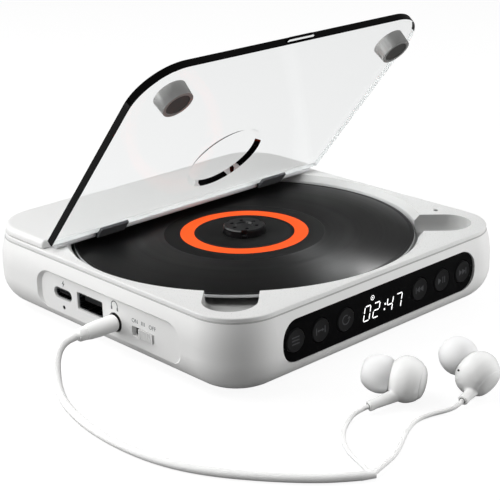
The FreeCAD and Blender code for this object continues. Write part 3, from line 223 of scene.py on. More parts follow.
# Injection-moulded ABS with a fine satin skin: white, softly shiny, with a faint even texture.
CASE_ABS = Finish("white_moulded_abs", "#F1F1F0", 0.36, grain=0.30, relief=0.001, cloud=0.01)
# The same plastic with a smoother polished tool, for the frame that holds the disc.
RIM_ABS = Finish("white_polished_abs", "#EFEFEE", 0.30, grain=0.35, relief=0.0008, cloud=0.01)
# Wall of the disc well in the same plastic, painted light grey beside the rim as painted shade.
WELL_SHADE = Finish("well_wall_painted_shade", "#CBCBCA", 0.40, grain=0.30, relief=0.001, cloud=0.02)
# Finger scoops painted mid grey and dull: painted shade for the dark inside of the scoops.
SCOOP_SHADE = Finish("scoop_painted_shade_grey", "#B2B2B1", 0.55, grain=0.25, relief=0.003, cloud=0.03)
# Painted shade in the groove between two mouldings: a thin grey line.
SEAM_SHADE = Finish("seam_painted_shade", "#B8B8B7", 0.55, grain=0.30, relief=0.001, cloud=0.01)
# Light grey ABS of the recessed panel behind the sockets: duller than the case.
PORT_ABS = Finish("pale_grey_moulded_abs", "#F0F0EF", 0.42, grain=0.25, relief=0.0015, cloud=0.015)
# The hinge rail in the deck's white plastic, painted light grey as painted shade, with a soft metallic gleam.
RAIL_SHADE = Finish("rail_painted_shade_grey", "#CFD0D1", 0.33, Making.BRUSHED, grain=0.5, metallic=0.15)
# Dark grey acetal of the knuckles: dull and smooth, as a bearing plastic is.
KNUCKLE_ACETAL = Finish("dark_acetal", "#454648", 0.42, grain=0.3)
# Turned and bead-blasted aluminium of the lid's stops: satin grey with a soft gleam.
STOP_ALUMINIUM = Finish("blasted_aluminium", "#A4A4A3", 0.42, grain=0.18, relief=0.004, metallic=0.45)
# Grey rubber pad pressed into each stop: matte and a little darker than the metal.
PAD_RUBBER = Finish("grey_pad_rubber", "#484746", 0.62, grain=0.3, relief=0.006)
# The acrylic's cut edge, where the light inside is trapped, painted almost black as painted shade.
LID_EDGE_SHADE = Finish("acrylic_edge_painted_shade", "#020202", 0.08, Making.POLISHED, grain=3.0, relief=0.001, gloss=0.3)
# The acrylic's cut edge on the sides that let the light out again, painted pale and glassy as painted
# highlight.
LID_EDGE_GLINT = Finish("acrylic_edge_painted_glint", "#D4D6D6", 0.10, Making.POLISHED, grain=3.0, relief=0.001, gloss=0.3)
# Black back-printed acrylic of the front panel: deep gloss, with a faint waviness.
PANEL_GLOSS = Finish("black_gloss_acrylic", "#020203", 0.08, Making.POLISHED, grain=5.0, relief=0.001,
                     spread=0.02, gloss=0.12)
# Dark grey ABS of the keys: satin, with the tool's fine texture.
KEY_ABS = Finish("charcoal_moulded_abs", "#1C1C1D", 0.42, grain=0.22, relief=0.003, cloud=0.06, gloss=0.25)
# Grey ink printed on the keys: matte, only a little lighter than the plastic.
KEY_INK = Finish("grey_key_ink", "#4A4B4D", 0.55, grain=0.2)
# Grey ink printed on the case beside the sockets: matte mid grey.
CASE_INK = Finish("grey_case_ink", "#6B6D6F", 0.60, grain=0.2)
# White light-emitting segments behind the panel: an even white glow.
DIGIT_LIGHT = Finish("white_display_light", "#FFFFFF", 0.4, Making.POLISHED, grain=1.0, glow=1.0)
# Folded tin-plated steel of the socket sleeves: bright, finely brushed.
SOCKET_TIN = Finish("tinned_steel", "#A8AAAC", 0.26, Making.BRUSHED, grain=0.3, metallic=1.0)
# Black nylon inside the sockets: dull.
SOCKET_NYLON = Finish("black_nylon", "#101112", 0.5, grain=0.25)
# Ribbed white ABS of the switch knob.
KNOB_ABS = Finish("white_knob_abs", "#EAEAE9", 0.40, grain=0.25)
# Clear light guide with an unlit lamp behind it: small and dark.
LIGHT_GUIDE = Finish("smoked_polycarbonate", "#2A2C2D", 0.15, Making.POLISHED, grain=1.0)
# Soft grey thermoplastic rubber of the feet.
FOOT_RUBBER = Finish("grey_foot_rubber", "#9C9D9D", 0.70, grain=0.35, relief=0.02)
# Black glass-filled plastic of the hub: satin, with rings left by its turning.
HUB_PLASTIC = Finish("black_turned_hub", "#101011", 0.30, Making.TURNED, grain=0.6, relief=0.0003)
# Rubber of the platter ring, bushes and domes.
DARK_RUBBER = Finish("dark_rubber", "#2B2C2D", 0.72, grain=0.35, relief=0.015)
# Ground steel of rods, shafts, pins and screws.
GROUND_STEEL = Finish("ground_steel", "#B4B5B7", 0.22, Making.BRUSHED, grain=0.25, metallic=1.0)
# Zinc-plated pressed steel of the drive plate and motors.
ZINC_STEEL = Finish("zinc_steel", "#9A9CA0", 0.34, grain=0.8, metallic=1.0)
# Solder-masked glass-epoxy board.
BOARD_MASK = Finish("green_board_mask", "#1E5B3A", 0.35, grain=0.6)
# Printed wrap of the battery cell.
CELL_WRAP = Finish("blue_cell_wrap", "#4A6A94", 0.35, Making.POLISHED, grain=2.0)
# Dark optical plastic of the pickup.
SLED_PLASTIC = Finish("black_sled_plastic", "#17181A", 0.45, grain=0.3)
# Coated glass of the pickup's lens.
LENS_GLASS = Finish("coated_lens_glass", "#9FB4D8", 0.03, Making.POLISHED, grain=2.0, transmission=0.8)
# White soft PVC of the earphone cord: satin, slightly waxy.
CORD_PVC = Finish("white_soft_pvc", "#F1F1F0", 0.42, grain=0.4, relief=0.004, cloud=0.02, subsurface=0.08)
# White glossy ABS of the earbud shells.
BUD_ABS = Finish("white_gloss_abs", "#F3F3F2", 0.24, grain=0.5, relief=0.002, cloud=0.012, subsurface=0.05)
# White silicone of the ear tips: soft and slightly see-through.
TIP_SILICONE = Finish("white_silicone", "#EFEFEF", 0.48, grain=0.5, relief=0.004, cloud=0.02, subsurface=0.25)
# Gold-flashed brass of the plug's contacts.
PLUG_BRASS = Finish("gold_flashed_brass", "#D8C07A", 0.2, Making.TURNED, grain=0.4, metallic=1.0)
# Painted shade: a dark fill in an opening, as in a vent or the gap round a cord.
RECESS_SHADE = Finish("painted_recess_shade", "#0A0A0A", 0.8, grain=0.4)
# Clear polycarbonate at the disc's rim, painted pale and bright as painted highlight for the light that it
# pipes.
DISC_RIM_GLINT = Finish("polycarbonate_rim_painted_glint", "#D9DBDC", 0.12, Making.TURNED, grain=0.8, relief=0.001)


@dataclass(frozen=True)
class ClearAcrylic(Surface):
    """Cast acrylic seen through its faces: clear with a faint grey tint and sharp reflections."""

    name: str = "clear_cast_acrylic"
    tint: str = "#FBFCFC"
    passed: str = "#F6F7F7"
    ior: float = 1.07

    def shade(self, tree: Tree) -> Node:
        """Add the nodes; lamps shine through the sheet without being bent.

        Args:
            tree: Node tree of the material.

        Returns:
            The last shader.
        """
        sheet = add_node(tree, "BsdfPrincipled", {
            "Base Color": linear(self.tint), "Roughness": 0.0, "IOR": self.ior, "Transmission Weight": 1.0})
        through = add_node(tree, "BsdfTransparent", {"Color": linear(self.passed)})
        rays = add_node(tree, "LightPath")
        return add_node(tree, "MixShader", {0: rays.outputs["Is Shadow Ray"], 1: sheet, 2: through})


@dataclass(frozen=True)
class PrintedLabel(Surface):
    """Screen print on the disc: satin black with one orange ring."""

    name: str = "screen_printed_label"
    black: str = "#161616"
    orange: str = "#EE521C"
    ring: Flat = (17.8, 22.7)
    outer: float = 60.0
    grit: float = 0.35
    relief: float = 0.003
    gloss: float = 0.06

    def shade(self, tree: Tree) -> Node:
        """Add the nodes: the print's colour follows the distance from the spindle.

        Args:
            tree: Node tree of the material.

        Returns:
            The last shader.
        """
        place = add_node(tree, "TexCoord").outputs["Object"]
        share = add_node(tree, "Math", {0: radius_of(tree, place), 1: self.outer * MM}, operation="DIVIDE")
        ramp = add_node(tree, "ValToRGB", {"Fac": share})
        stops = ramp.color_ramp
        stops.interpolation = "CONSTANT"
        stops.elements[0].color = linear(self.black)
        stops.elements[1].position = self.ring[0] / self.outer
        stops.elements[1].color = linear(self.orange)
        stops.elements.new(self.ring[1] / self.outer).color = linear(self.black)
        grit = add_node(tree, "TexNoise", {"Vector": place, "Scale": 1 / (self.grit * MM), "Detail": 2.0})
        bump = add_node(tree, "Bump", {"Height": grit, "Strength": 0.3, "Distance": self.relief * MM})
        shader = add_node(tree, "BsdfPrincipled", {
            "Base Color": ramp, "Roughness": 0.48, "Normal": bump, "Specular IOR Level": self.gloss})
        return shader


@dataclass(frozen=True)
class RecordGrooves(Surface):
    """Grooved black lacquer over the disc's data area, which spreads a lamp into a streak."""

    name: str = "grooved_black_lacquer"
    colour: str = "#121212"
    pitch: float = 0.55
    depth: float = 0.012
    bands: float = 3.5
    cloud: float = 0.4
    roughness: Flat = (0.26, 0.36)
    stretch: float = 0.85
    gloss: float = 0.4

    def shade(self, tree: Tree) -> Node:
        """Add the nodes; the grooves are drawn coarse enough to show.

        Args:
            tree: Node tree of the material.

        Returns:
            The last shader.
        """
        radius = radius_of(tree, add_node(tree, "TexCoord").outputs["Object"])
        line = add_node(tree, "CombineXYZ", {"X": radius})
        tracks = add_node(tree, "TexNoise", {"Vector": line, "Scale": 1 / (self.bands * MM), "Detail": 4.0})
        groove = add_node(tree, "TexNoise", {"Vector": line, "Scale": 1 / (self.pitch * MM), "Detail": 3.0})
        bump = add_node(tree, "Bump", {"Height": groove, "Strength": 0.5, "Distance": self.depth * MM})
        base = linear(self.colour)
        tint = add_node(tree, "Mix", {0: tracks, 6: darker(base, self.cloud), 7: base}, data_type="RGBA")
        rough = add_node(tree, "MapRange", {
            0: tracks, 1: 0.3, 2: 0.7, 3: self.roughness[0], 4: self.roughness[1]})
        around = add_node(tree, "Tangent", direction_type="RADIAL", axis="Z")
        shader = add_node(tree, "BsdfPrincipled", {
            "Base Color": tint.outputs[2], "Roughness": rough, "Normal": bump, "Anisotropic": self.stretch,
            "Anisotropic Rotation": 0.25, "Tangent": around, "Specular IOR Level": self.gloss})
        return shader


def seen_directly(tree: Tree) -> Node:
    """Tell what the eye sees, bare or straight through the clear lid, from light that bounced.

    Args:
        tree: Node tree of the floor or the room.

    Returns:
        Node with one for what is seen, a little less through the lid, zero for bounced light.
    """
    rays = add_node(tree, "LightPath")
    straight = add_node(tree, "Math", {
        0: rays.outputs["Ray Depth"], 1: rays.outputs["Transmission Depth"], 2: 0.5}, operation="COMPARE")
    through = add_node(tree, "Math", {
        0: rays.outputs["Is Transmission Ray"], 1: straight}, operation="MULTIPLY")
    veiled = add_node(tree, "Math", {0: through, 1: LID_VEIL}, operation="MULTIPLY")
    return add_node(tree, "Math", {
        0: rays.outputs["Is Camera Ray"], 1: veiled}, operation="ADD", use_clamp=True)


@dataclass(frozen=True)
class FloorPaper(Surface):
    """Matt white paper: it shows white to the eye, and keeps a soft shadow."""

    name: str = "pale_studio_floor"
    paper: str = "#F4F4F4"
    white: str = "#FFFFFF"
    bounced: str = "#8C8C8C"
    glow: float = 1.13
    glow_share: float = 0.8

    def shade(self, tree: Tree) -> Node:
        """Add the nodes: glowing paper for the eye, plain grey for bounced light.

        Args:
            tree: Node tree of the material.

        Returns:
            The last shader.
        """
        shown = seen_directly(tree)
        paper = add_node(tree, "BsdfDiffuse", {"Color": linear(self.paper)})
        white = add_node(tree, "Emission", {"Color": linear(self.white), "Strength": self.glow})
        lit = add_node(tree, "MixShader", {0: self.glow_share, 1: paper, 2: white})
        bounce = add_node(tree, "BsdfDiffuse", {"Color": linear(self.bounced)})
        return add_node(tree, "MixShader", {0: shown, 1: bounce, 2: lit})


def placed(name: str, data: bpy.types.ID) -> Piece:
    """Put a new object into the scene.

    Args:
        name: Name of the object.
        data: Its mesh, curve, lamp or lens.

    Returns:
        The object.
    """
    piece = bpy.data.objects.new(name, data)
    bpy.context.scene.collection.objects.link(piece)
    return piece


def coat(data: bpy.types.Mesh | bpy.types.Curve, *finishes: Surface) -> None:
    """Give a mesh or a cord its finishes, in place of any that it has.

    Args:
        data: What is finished.
        finishes: Finishes in the order of the faces' indices.
    """
    if data.materials:
        data.materials.clear()
    for finish in finishes:
        data.materials.append(finish.material())


def baked(stock: Piece) -> bpy.types.Mesh:
    """Turn a stock piece, which is used up, into the mesh that its modifiers or letters make.

    Args:
        stock: The piece.

    Returns:
        The finished mesh.
    """
    mesh = bpy.data.meshes.new_from_object(stock.evaluated_get(bpy.context.evaluated_depsgraph_get()))
    bpy.data.objects.remove(stock)
    return mesh


def mesh_piece(name: str, shape: Shape, *finishes: Surface, sharp: float = 35.0) -> Piece:
    """Turn a built mesh into an object in the scene.

    Args:
        name: Name of the piece.
        shape: Mesh, which is used up.
        finishes: Finishes in the order of the faces' indices.
        sharp: Angle in degrees above which an edge stays sharp.

    Returns:
        The new object.
    """
    bmesh.ops.recalc_face_normals(shape, faces=shape.faces)
    mesh = bpy.data.meshes.new(name)
    shape.to_mesh(mesh)
    shape.free()
    mesh.polygons.foreach_set("use_smooth", [True] * len(mesh.polygons))
    mesh.set_sharp_from_angle(angle=math.radians(sharp))
    coat(mesh, *finishes)
    return placed(name, mesh)


def keep(piece: Piece, body: str, slot: str, *nodes: str) -> Piece:
    """Let a piece ride on its body, and hide the solids that it stands for.

    Args:
        piece: Piece in its place at rest.
        body: Body that it moves with.
        slot: The record's material slot; not used.
        nodes: Solids that the piece replaces.

    Returns:
        The same piece.
    """
    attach(piece, body)
    if nodes:
        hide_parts(*nodes)
    LOG.info("%s rides on %s", piece.name, body)
    return piece


def dress(finish: Surface, *nodes: str) -> None:
    """Give one finish to each of the named solids.

    Args:
        finish: The finish.
        nodes: Names of the solids.
    """
    for node in nodes:
        coat(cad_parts[node].data, finish)
        LOG.info("%s is %s", node, finish.name)


def dress_faces(node: str, finishes: Sequence[Surface], choose: Callable[[Vector, Vector], int]) -> None:
    """Give a solid more than one finish, face by face.

    Args:
        node: Name of the solid.
        finishes: Finishes in the order that choose counts them.
        choose: From a face's centre in millimetres and its normal to the index of its finish.
    """
    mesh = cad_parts[node].data
    coat(mesh, *finishes)
    for face in mesh.polygons:
        face.material_index = choose(face.center / MM, face.normal)
    LOG.info("%s has %d finishes", node, len(finishes))


def softened(outline: Sequence[Flat], rounds: int = 2) -> list[Flat]:
    """Cut the corners of an open outline again and again, keeping its two ends.

    Args:
        outline: Points of the outline.
        rounds: How many times each corner is cut.

    Returns:
        The smoother outline.
    """
    points = list(outline)
    for _ in range(rounds):
        cut = [points[0]]
        for (a, b), (c, d) in zip(points, points[1:]):
            cut += [(a * 0.75 + c * 0.25, b * 0.75 + d * 0.25), (a * 0.25 + c * 0.75, b * 0.25 + d * 0.75)]
        points = cut + [points[-1]]
    return points


def lathe(outline: Sequence[Flat], ring: bool = False, sides: int = 72) -> Shape:
    """Turn an outline of radius and height about +Z.

    Args:
        outline: Radius and height in millimetres; a radius of zero is a point on the axis.
        ring: True where the outline closes on itself round a hole.
        sides: Number of steps round the axis.

    Returns:
        The turned mesh, in metres.
    """
    shape = bmesh.new()
    rings = []
    for radius, height in outline:
        steps = sides if radius > 1e-6 else 1
        rings.append([shape.verts.new((radius * MM * math.cos(2 * math.pi * s / sides),
                                       radius * MM * math.sin(2 * math.pi * s / sides), height * MM))
                      for s in range(steps)])
    pairs = list(zip(rings, rings[1:] + rings[:1])) if ring else list(zip(rings, rings[1:]))
    for low, high in pairs:
        for s in range(sides):
            corners = [low[s % len(low)], low[(s + 1) % len(low)],
                       high[(s + 1) % len(high)], high[s % len(high)]]
            shape.faces.new(list(dict.fromkeys(corners)))
    return shape


def aimed(shape: Shape, place: Vector, aim: Vector) -> Shape:
    """Turn a mesh made along +Z to point along aim, and move it to its place.

    Args:
        shape: Mesh in metres.
        place: Where its origin goes, in millimetres.
        aim: Direction of its axis.

    Returns:
        The same mesh.
    """
    turn = Z_AXIS.rotation_difference(aim).to_matrix().to_4x4()
    shape.transform(Matrix.Translation(place * MM) @ turn)
    return shape


@dataclass(frozen=True)
class PrintPlane:
    """Upright face that takes printed marks, with its own right and outward directions."""

    origin: Vector
    right: Vector
    out: Vector
    up: Vector = Z_AXIS

    def at(self, across: float, rise: float, lift: float) -> Vector:
        """Give the point in metres for a place on the face in millimetres."""
        return (self.origin + self.right * across + self.up * rise + self.out * lift) * MM


def add_plate(shape: Shape, outline: Sequence[Flat], at: Placer, thick: float) -> None:
    """Add a thin closed plate with the given outline.

    Args:
        shape: Mesh that takes the plate.
        outline: Corners in millimetres.
        at: Places a corner and its lift on the printed face.
        thick: Thickness in millimetres, half of it below the face.
    """
    top = [shape.verts.new(at(u, v, thick / 2)) for u, v in outline]
    low = [shape.verts.new(at(u, v, -thick / 2)) for u, v in outline]
    shape.faces.new(top)
    shape.faces.new(low[::-1])
    for i in range(len(outline)):
        j = (i + 1) % len(outline)
        shape.faces.new((top[i], low[i], low[j], top[j]))


def add_stroke(shape: Shape, path: Sequence[Flat], width: float, at: Placer, thick: float,
               closed: bool = False) -> None:
    """Add an even-width line along a path, mitred at its corners.

    Args:
        shape: Mesh that takes the line.
        path: Points in millimetres.
        width: Width of the line.
        at: Places a point and its lift on the printed face.
        thick: Thickness in millimetres, half of it below the face.
        closed: True where the path returns to its start.
    """
    points = [Vector(p) for p in path]
    count = len(points)
    sections = []
    for i, here in enumerate(points):
        before = points[i - 1] if closed or i else None
        after = points[(i + 1) % count] if closed or i + 1 < count else None
        runs = ((before, here), (here, after))
        ahead = [(b - a).normalized() for a, b in runs if a is not None and b is not None]
        normals = [Vector((-d.y, d.x)) for d in ahead]
        mitre = sum(normals, Vector((0, 0))).normalized()
        reach = width / 2 / max(mitre.dot(normals[0]), 0.5)
        sections.append([shape.verts.new(at(*(here + mitre * reach * side), lift * thick / 2))
                         for side, lift in ((1, 1), (-1, 1), (-1, -1), (1, -1))])
    pairs = list(zip(sections, sections[1:] + sections[:1])) if closed else list(zip(sections, sections[1:]))
    for a, b in pairs:
        for k in range(4):
            shape.faces.new((a[k], a[(k + 1) % 4], b[(k + 1) % 4], b[k]))
    if not closed:
        shape.faces.new(sections[0][::-1])
        shape.faces.new(sections[-1])


def arc(centre: Flat, radius: float, start: float, end: float, steps: int = 20) -> list[Flat]:
    """Give points along an arc; angles in degrees, counted from the right."""
    turns = [math.radians(start + (end - start) * k / steps) for k in range(steps + 1)]
    return [(centre[0] + radius * math.cos(t), centre[1] + radius * math.sin(t)) for t in turns]


@dataclass(frozen=True)
class Softbox:
    """Square lamp: its middle, the point that it faces, its side in millimetres and its watts."""

    name: str
    place: Point
    towards: Point
    side: float
    power: float
    mirrored: bool = False

    def hang(self) -> Piece:
        """Hang the lamp; shiny surfaces show it only where it is mirrored.

        Returns:
            The lamp.
        """
        lamp = bpy.data.lights.new(self.name, "AREA")
        lamp.size = self.side * MM
        lamp.energy = self.power
        holder = placed(self.name, lamp)
        run = Vector(self.towards) - Vector(self.place)
        turn = run.to_track_quat("-Z", "Y").to_matrix().to_4x4()
        holder.matrix_world = Matrix.Translation(Vector(self.place) * MM) @ turn
        holder.visible_glossy = self.mirrored
        holder.visible_camera = False
        return holder

    def hang_for(self, pieces: Sequence[Piece]) -> None:
        """Hang the lamp so that it lights the given pieces and nothing else.

        Args:
            pieces: What it lights.
        """
        lit = bpy.data.collections.new(self.name + "_lights")
        for piece in pieces:
            lit.objects.link(piece)
        self.hang().light_linking.receiver_collection = lit


@dataclass
class Studio:
    """Floor, lamps, room and camera."""

    azimuth: float = -42.680
    elevation: float = 20.147
    roll: float = -1.438
    distance: float = 496.252
    target: Point = (1.165, -1.432, 17.923)
    focal: float = 1393.25
    floor_side: float = 12000.0
    room_light: float = 0.21
    room_mirrored: float = 0.12
    lamps: tuple[Softbox, ...] = (
        Softbox("softbox_behind", (-200, 480, 480), (0, 0, 20), 380, 1.35),
        Softbox("softbox_above_left", (-170, 40, 280), (-30, 0, 20), 200, 0.44),
        Softbox("softbox_left", (-504, 423, 90), (0, 0, 15), 380, 2.9),
        Softbox("softbox_right", (504, -423, 90), (0, 0, 15), 380, 4.6))
    earphone_lamp: Softbox = Softbox("softbox_front", (-260, -420, 420), (-40, -100, 5), 600, 0.62)
    # Small lamp that draws the streak across the disc's grooves.
    disc_lamp: Softbox = Softbox("strip_behind", (475, 222, 465), (0, -45, 25), 110, 1.2, True)

    def build(self) -> None:
        """Set up everything round the object."""
        scene = bpy.context.scene
        scene.view_settings.view_transform = "Standard"
        self.build_camera(scene)
        self.build_floor()
        self.build_room(scene)
        for lamp in self.lamps:
            lamp.hang()

    def build_camera(self, scene: bpy.types.Scene) -> None:
        """Stand the camera where the picture was taken from.

        Args:
            scene: Scene that takes the camera.
        """
        az, el, roll = (math.radians(a) for a in (self.azimuth, self.elevation, self.roll))
        back = Vector((math.sin(az) * math.cos(el), -math.cos(az) * math.cos(el), math.sin(el)))
        right = Vector((math.cos(az), math.sin(az), 0))
        up = back.cross(right)
        turned_right = right * math.cos(roll) + up * math.sin(roll)
        turned_up = up * math.cos(roll) - right * math.sin(roll)
        lens = bpy.data.cameras.new("camera")
        lens.sensor_width = SENSOR_MM
        lens.lens = self.focal * SENSOR_MM / IMAGE_SIDE
        lens.clip_start = 0.01
        pose = Matrix((turned_right, turned_up, back)).transposed().to_4x4()
        pose.translation = (Vector(self.target) + back * self.distance) * MM
        scene.camera = placed("camera", lens)
        scene.camera.matrix_world = pose

    def build_floor(self) -> None:
        """Lay the paper floor."""
        half = self.floor_side / 2 * MM
        shape = bmesh.new()
        shape.faces.new([shape.verts.new((x * half, y * half, 0))
                         for x, y in ((-1, -1), (1, -1), (1, 1), (-1, 1))])
        mesh_piece("floor", shape, FloorPaper())

    def build_room(self, scene: bpy.types.Scene) -> None:
        """Light the room evenly, and show white behind everything.

        Args:
            scene: Scene that takes the room.
        """
        world = bpy.data.worlds.new("white_room")
        world.use_nodes = True
        tree = world.node_tree
        tree.nodes.clear()
        rays = add_node(tree, "LightPath")
        room = add_node(tree, "MapRange", {
            0: rays.outputs["Is Glossy Ray"], 3: self.room_light, 4: self.room_mirrored})
        strength = add_node(tree, "MapRange", {0: seen_directly(tree), 3: room, 4: 1.0})
        sky = add_node(tree, "Background", {"Color": linear("#FFFFFF"), "Strength": strength})
        add_node(tree, "OutputWorld", {"Surface": sky})
        scene.world = world


@dataclass
class Earphones:
    """Plug, cords, fork, earbuds and tips that lie on the table."""

    main_diameter: float = 2.6
    thin_diameter: float = 1.4
    main_length: float = 136.8
    left_length: float = 40.2
    right_length: float = 50.9
    main_route: tuple[Point, ...] = (
        (-80.5, -8.4, 12.6), (-84.3, -8.4, 12.6), (-88.1, -9.1, 11.0), (-90.9, -11.0, 8.0),
        (-93.2, -14.1, 4.6), (-95.7, -18.5, 2.2), (-98.5, -24.9, 1.4), (-100.9, -32.4, 1.4),
        (-102.9, -41.6, 1.4), (-103.8, -51.4, 1.4), (-103.6, -62.0, 1.4), (-102.2, -72.0, 1.4),
        (-99.3, -81.4, 1.4), (-95.0, -90.0, 1.4), (-89.8, -97.8, 1.4), (-84.3, -105.0, 1.4),
        (-78.6, -111.4, 1.4), (-73.2, -116.24, 1.4), (-68.86, -119.28, 1.4))
    left_route: tuple[Point, ...] = (
        (-65.26, -118.22, 1.4), (-63.4, -113.69, 1.4), (-61.1, -107.8, 0.8), (-57.6, -102.2, 0.75),
        (-52.9, -97.6, 0.75), (-47.4, -94.4, 1.0), (-42.56, -92.93, 1.8), (-38.3, -94.2, 2.5))
    right_route: tuple[Point, ...] = (
        (-63.46, -120.4, 1.4), (-57.8, -119.245, 1.4), (-51.4, -116.9, 0.8), (-45.0, -113.3, 0.75),
        (-38.6, -109.7, 0.75), (-32.2, -107.6, 0.75), (-26.6, -108.7, 0.9), (-22.2, -111.2, 1.4),
        (-19.12, -112.16, 2.0), (-16.2, -111.8, 2.6))
    plug_seat: Point = (-65.55, -8.4, 12.6)
    grip: Outline = (
        (0.0, 0.0), (2.35, 0.0), (2.8, 0.45), (2.8, 6.8), (2.55, 10.4), (2.3, 11.9), (2.1, 12.0), (2.1, 12.3),
        (2.22, 12.4), (2.12, 14.2), (1.9, 14.75), (1.5, 14.95), (0.0, 14.95))

    def build(self) -> list[Piece]:
        """Make the cords and what is on them.

        Returns:
            All the pieces, cords too.
        """
        grip = self.build_grip()
        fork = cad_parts["cord_splitter"]
        dress(CORD_PVC, "cord_splitter")
        dress(PLUG_BRASS, "earphone_plug")
        made = [grip, fork, self.build_cord("earphone_cord", self.main_route,
                                            self.main_diameter)]
        left = Earbud("left", Vector((-24.0, -96.4, 7.25)), Vector((-0.50, 0.85, 0.12)),
                      Vector((-26.2, -97.8, 4.5)), Vector(self.left_route[-1]), Vector((-0.8, -0.3, -0.5)))
        right = Earbud("right", Vector((-6.0, -109.0, 7.25)), Vector((0.0, 0.90, 0.44)),
                       Vector((-6.6, -110.6, 4.6)), Vector(self.right_route[-1]), Vector((-0.9, -0.2, 0.1)))
        for bud, route, length in ((left, self.left_route, self.left_length),
                                   (right, self.right_route, self.right_length)):
            pieces = bud.build()
            made += pieces + [self.build_cord(bud.side + "_cord", route, self.thin_diameter)]
        return made

    def build_cord(self, node: str, route: Sequence[Point], diameter: float) -> Piece:
        """Lay one cord as a smooth spline along its route.

        Args:
            node: Solid that the cord replaces.
            route: Control points in millimetres.
            diameter: Thickness in millimetres.

        Returns:
            The cord.
        """
        line = bpy.data.curves.new(node + "_line", "CURVE")
        line.dimensions = "3D"
        line.bevel_depth = diameter / 2 * MM
        line.bevel_resolution = 6
        line.resolution_u = 10
        line.use_fill_caps = True
        spline = line.splines.new("NURBS")
        spline.points.add(len(route) - 1)
        for point, place in zip(spline.points, route):
            point.co = (*(c * MM for c in place), 1.0)
        spline.order_u = 3
        spline.use_endpoint_u = True
        coat(line, CORD_PVC)
        cord = keep(placed(node + "_flex", line), "case", "cord_white", node)
        return cord

    def build_grip(self) -> Piece:
        """Turn the plug's moulded grip: round shoulder, long taper and a collar round the cord.

        Returns:
            The grip.
        """
        shape = aimed(lathe(self.grip), Vector(self.plug_seat), Vector((-1, 0, 0)))
        sleeve = mesh_piece("plug_grip_sleeve", shape, CORD_PVC)
        return keep(sleeve, "case", "cord_white", "plug_grip")


@dataclass
class Earbud:
    """One earbud: blended shell, back plate, vent, cord sleeve and silicone tip."""

    side: str
    centre: Vector
    aim: Vector
    stem_root: Vector
    stem_end: Vector
    vent_towards: Vector
    voxel: float = 0.28
    bulb: Outline = (
        (0.0, -5.9), (3.2, -5.8), (5.7, -4.4), (7.1, -1.6), (7.25, 0.6), (6.6, 2.7), (5.2, 4.1), (4.3, 4.9),
        (3.6, 5.5), (2.8, 6.4), (2.6, 10.6), (0.0, 10.6))
    cap: Outline = (
        (0.0, -6.2), (2.4, -6.1), (4.2, -5.55), (5.05, -4.9), (5.1, -4.55), (4.6, -4.2), (0.0, -4.2))
    tip: Outline = (
        (4.75, 4.55), (5.3, 5.1), (5.72, 6.0), (5.95, 7.2), (5.98, 8.2), (5.8, 9.5), (5.4, 10.7), (4.8, 11.8),
        (4.0, 12.7), (3.2, 13.25), (2.7, 13.4), (2.3, 13.2), (2.2, 12.4), (2.2, 11.6), (2.75, 11.2),
        (2.78, 9.0), (4.2, 7.4), (4.5, 5.6), (4.55, 4.75))
    sleeve: Outline = ((0.95, 0.0), (1.45, 0.0), (1.6, 0.2), (1.62, 1.6), (0.95, 1.6))
    gap: Outline = ((0.0, 0.5), (1.0, 0.5), (1.0, 0.8), (0.0, 0.8))
    vent: Outline = ((0.0, -0.3), (0.34, -0.3), (0.34, 0.06), (0.0, 0.06))
    vent_place: Flat = (3.0, 6.55)
    vent_lean: Flat = (0.5, 0.8)

    def build(self) -> list[Piece]:
        """Make the earbud's pieces.

        Returns:
            The pieces, for the cord that carries them.
        """
        axis = self.aim.normalized()
        run = (self.stem_root - self.stem_end).normalized()
        away = (self.vent_towards - axis * self.vent_towards.dot(axis)).normalized()
        vent_seat = self.centre + axis * self.vent_place[0] + away * self.vent_place[1]
        vent_aim = (axis * self.vent_lean[0] + away * self.vent_lean[1]).normalized()
        pieces = [keep(self.build_shell(axis), "case", "bud_white", self.side + "_earbud")]
        # The sleeve gap and the vent are dark fills of painted shade.
        for name, shape, finish in (
                ("back_plate", aimed(lathe(softened(self.cap, 1)), self.centre, axis), BUD_ABS),
                ("cord_sleeve", aimed(lathe(self.sleeve, ring=True, sides=40), self.stem_end, run), BUD_ABS),
                ("sleeve_gap", aimed(lathe(self.gap, sides=40), self.stem_end, run), RECESS_SHADE),
                ("vent", aimed(lathe(self.vent, sides=20), vent_seat, vent_aim), RECESS_SHADE)):
            piece = mesh_piece(f"{self.side}_{name}", shape, finish)
            pieces.append(keep(piece, "case", "bud_white"))
        tip = aimed(lathe(self.tip, ring=True), self.centre, axis)
        soft = mesh_piece(self.side + "_silicone_tip", tip, TIP_SILICONE, sharp=60.0)
        pieces.append(keep(soft, "case", "tip_silicone", self.side + "_ear_tip"))
        return pieces

    def build_shell(self, axis: Vector) -> Piece:
        """Blend the bulb and the stem into one smooth shell.

        Args:
            axis: Direction of the nozzle.

        Returns:
            The shell.
        """
        shape = aimed(lathe(softened(self.bulb, 1)), self.centre, axis)
        run = self.stem_root - self.stem_end
        stem = lathe([(0.0, 0.6), (1.42, 0.6), (1.5, 1.2), (2.3, run.length), (2.6, run.length + 2.5),
                      (0.0, run.length + 4.0)], sides=40)
        aimed(stem, self.stem_end, run)
        rough = mesh_piece("stem_stock", stem)
        shape.from_mesh(rough.data)
        bpy.data.objects.remove(rough)
        stock = mesh_piece("shell_stock", shape)
        remesh = stock.modifiers.new("blend", "REMESH")
        remesh.mode = "VOXEL"
        remesh.voxel_size = self.voxel * MM
        smooth = stock.modifiers.new("soften", "SMOOTH")
        smooth.factor = 0.5
        smooth.iterations = 12
        mesh = baked(stock)
        mesh.polygons.foreach_set("use_smooth", [True] * len(mesh.polygons))
        coat(mesh, BUD_ABS)
        return placed(self.side + "_shell", mesh)


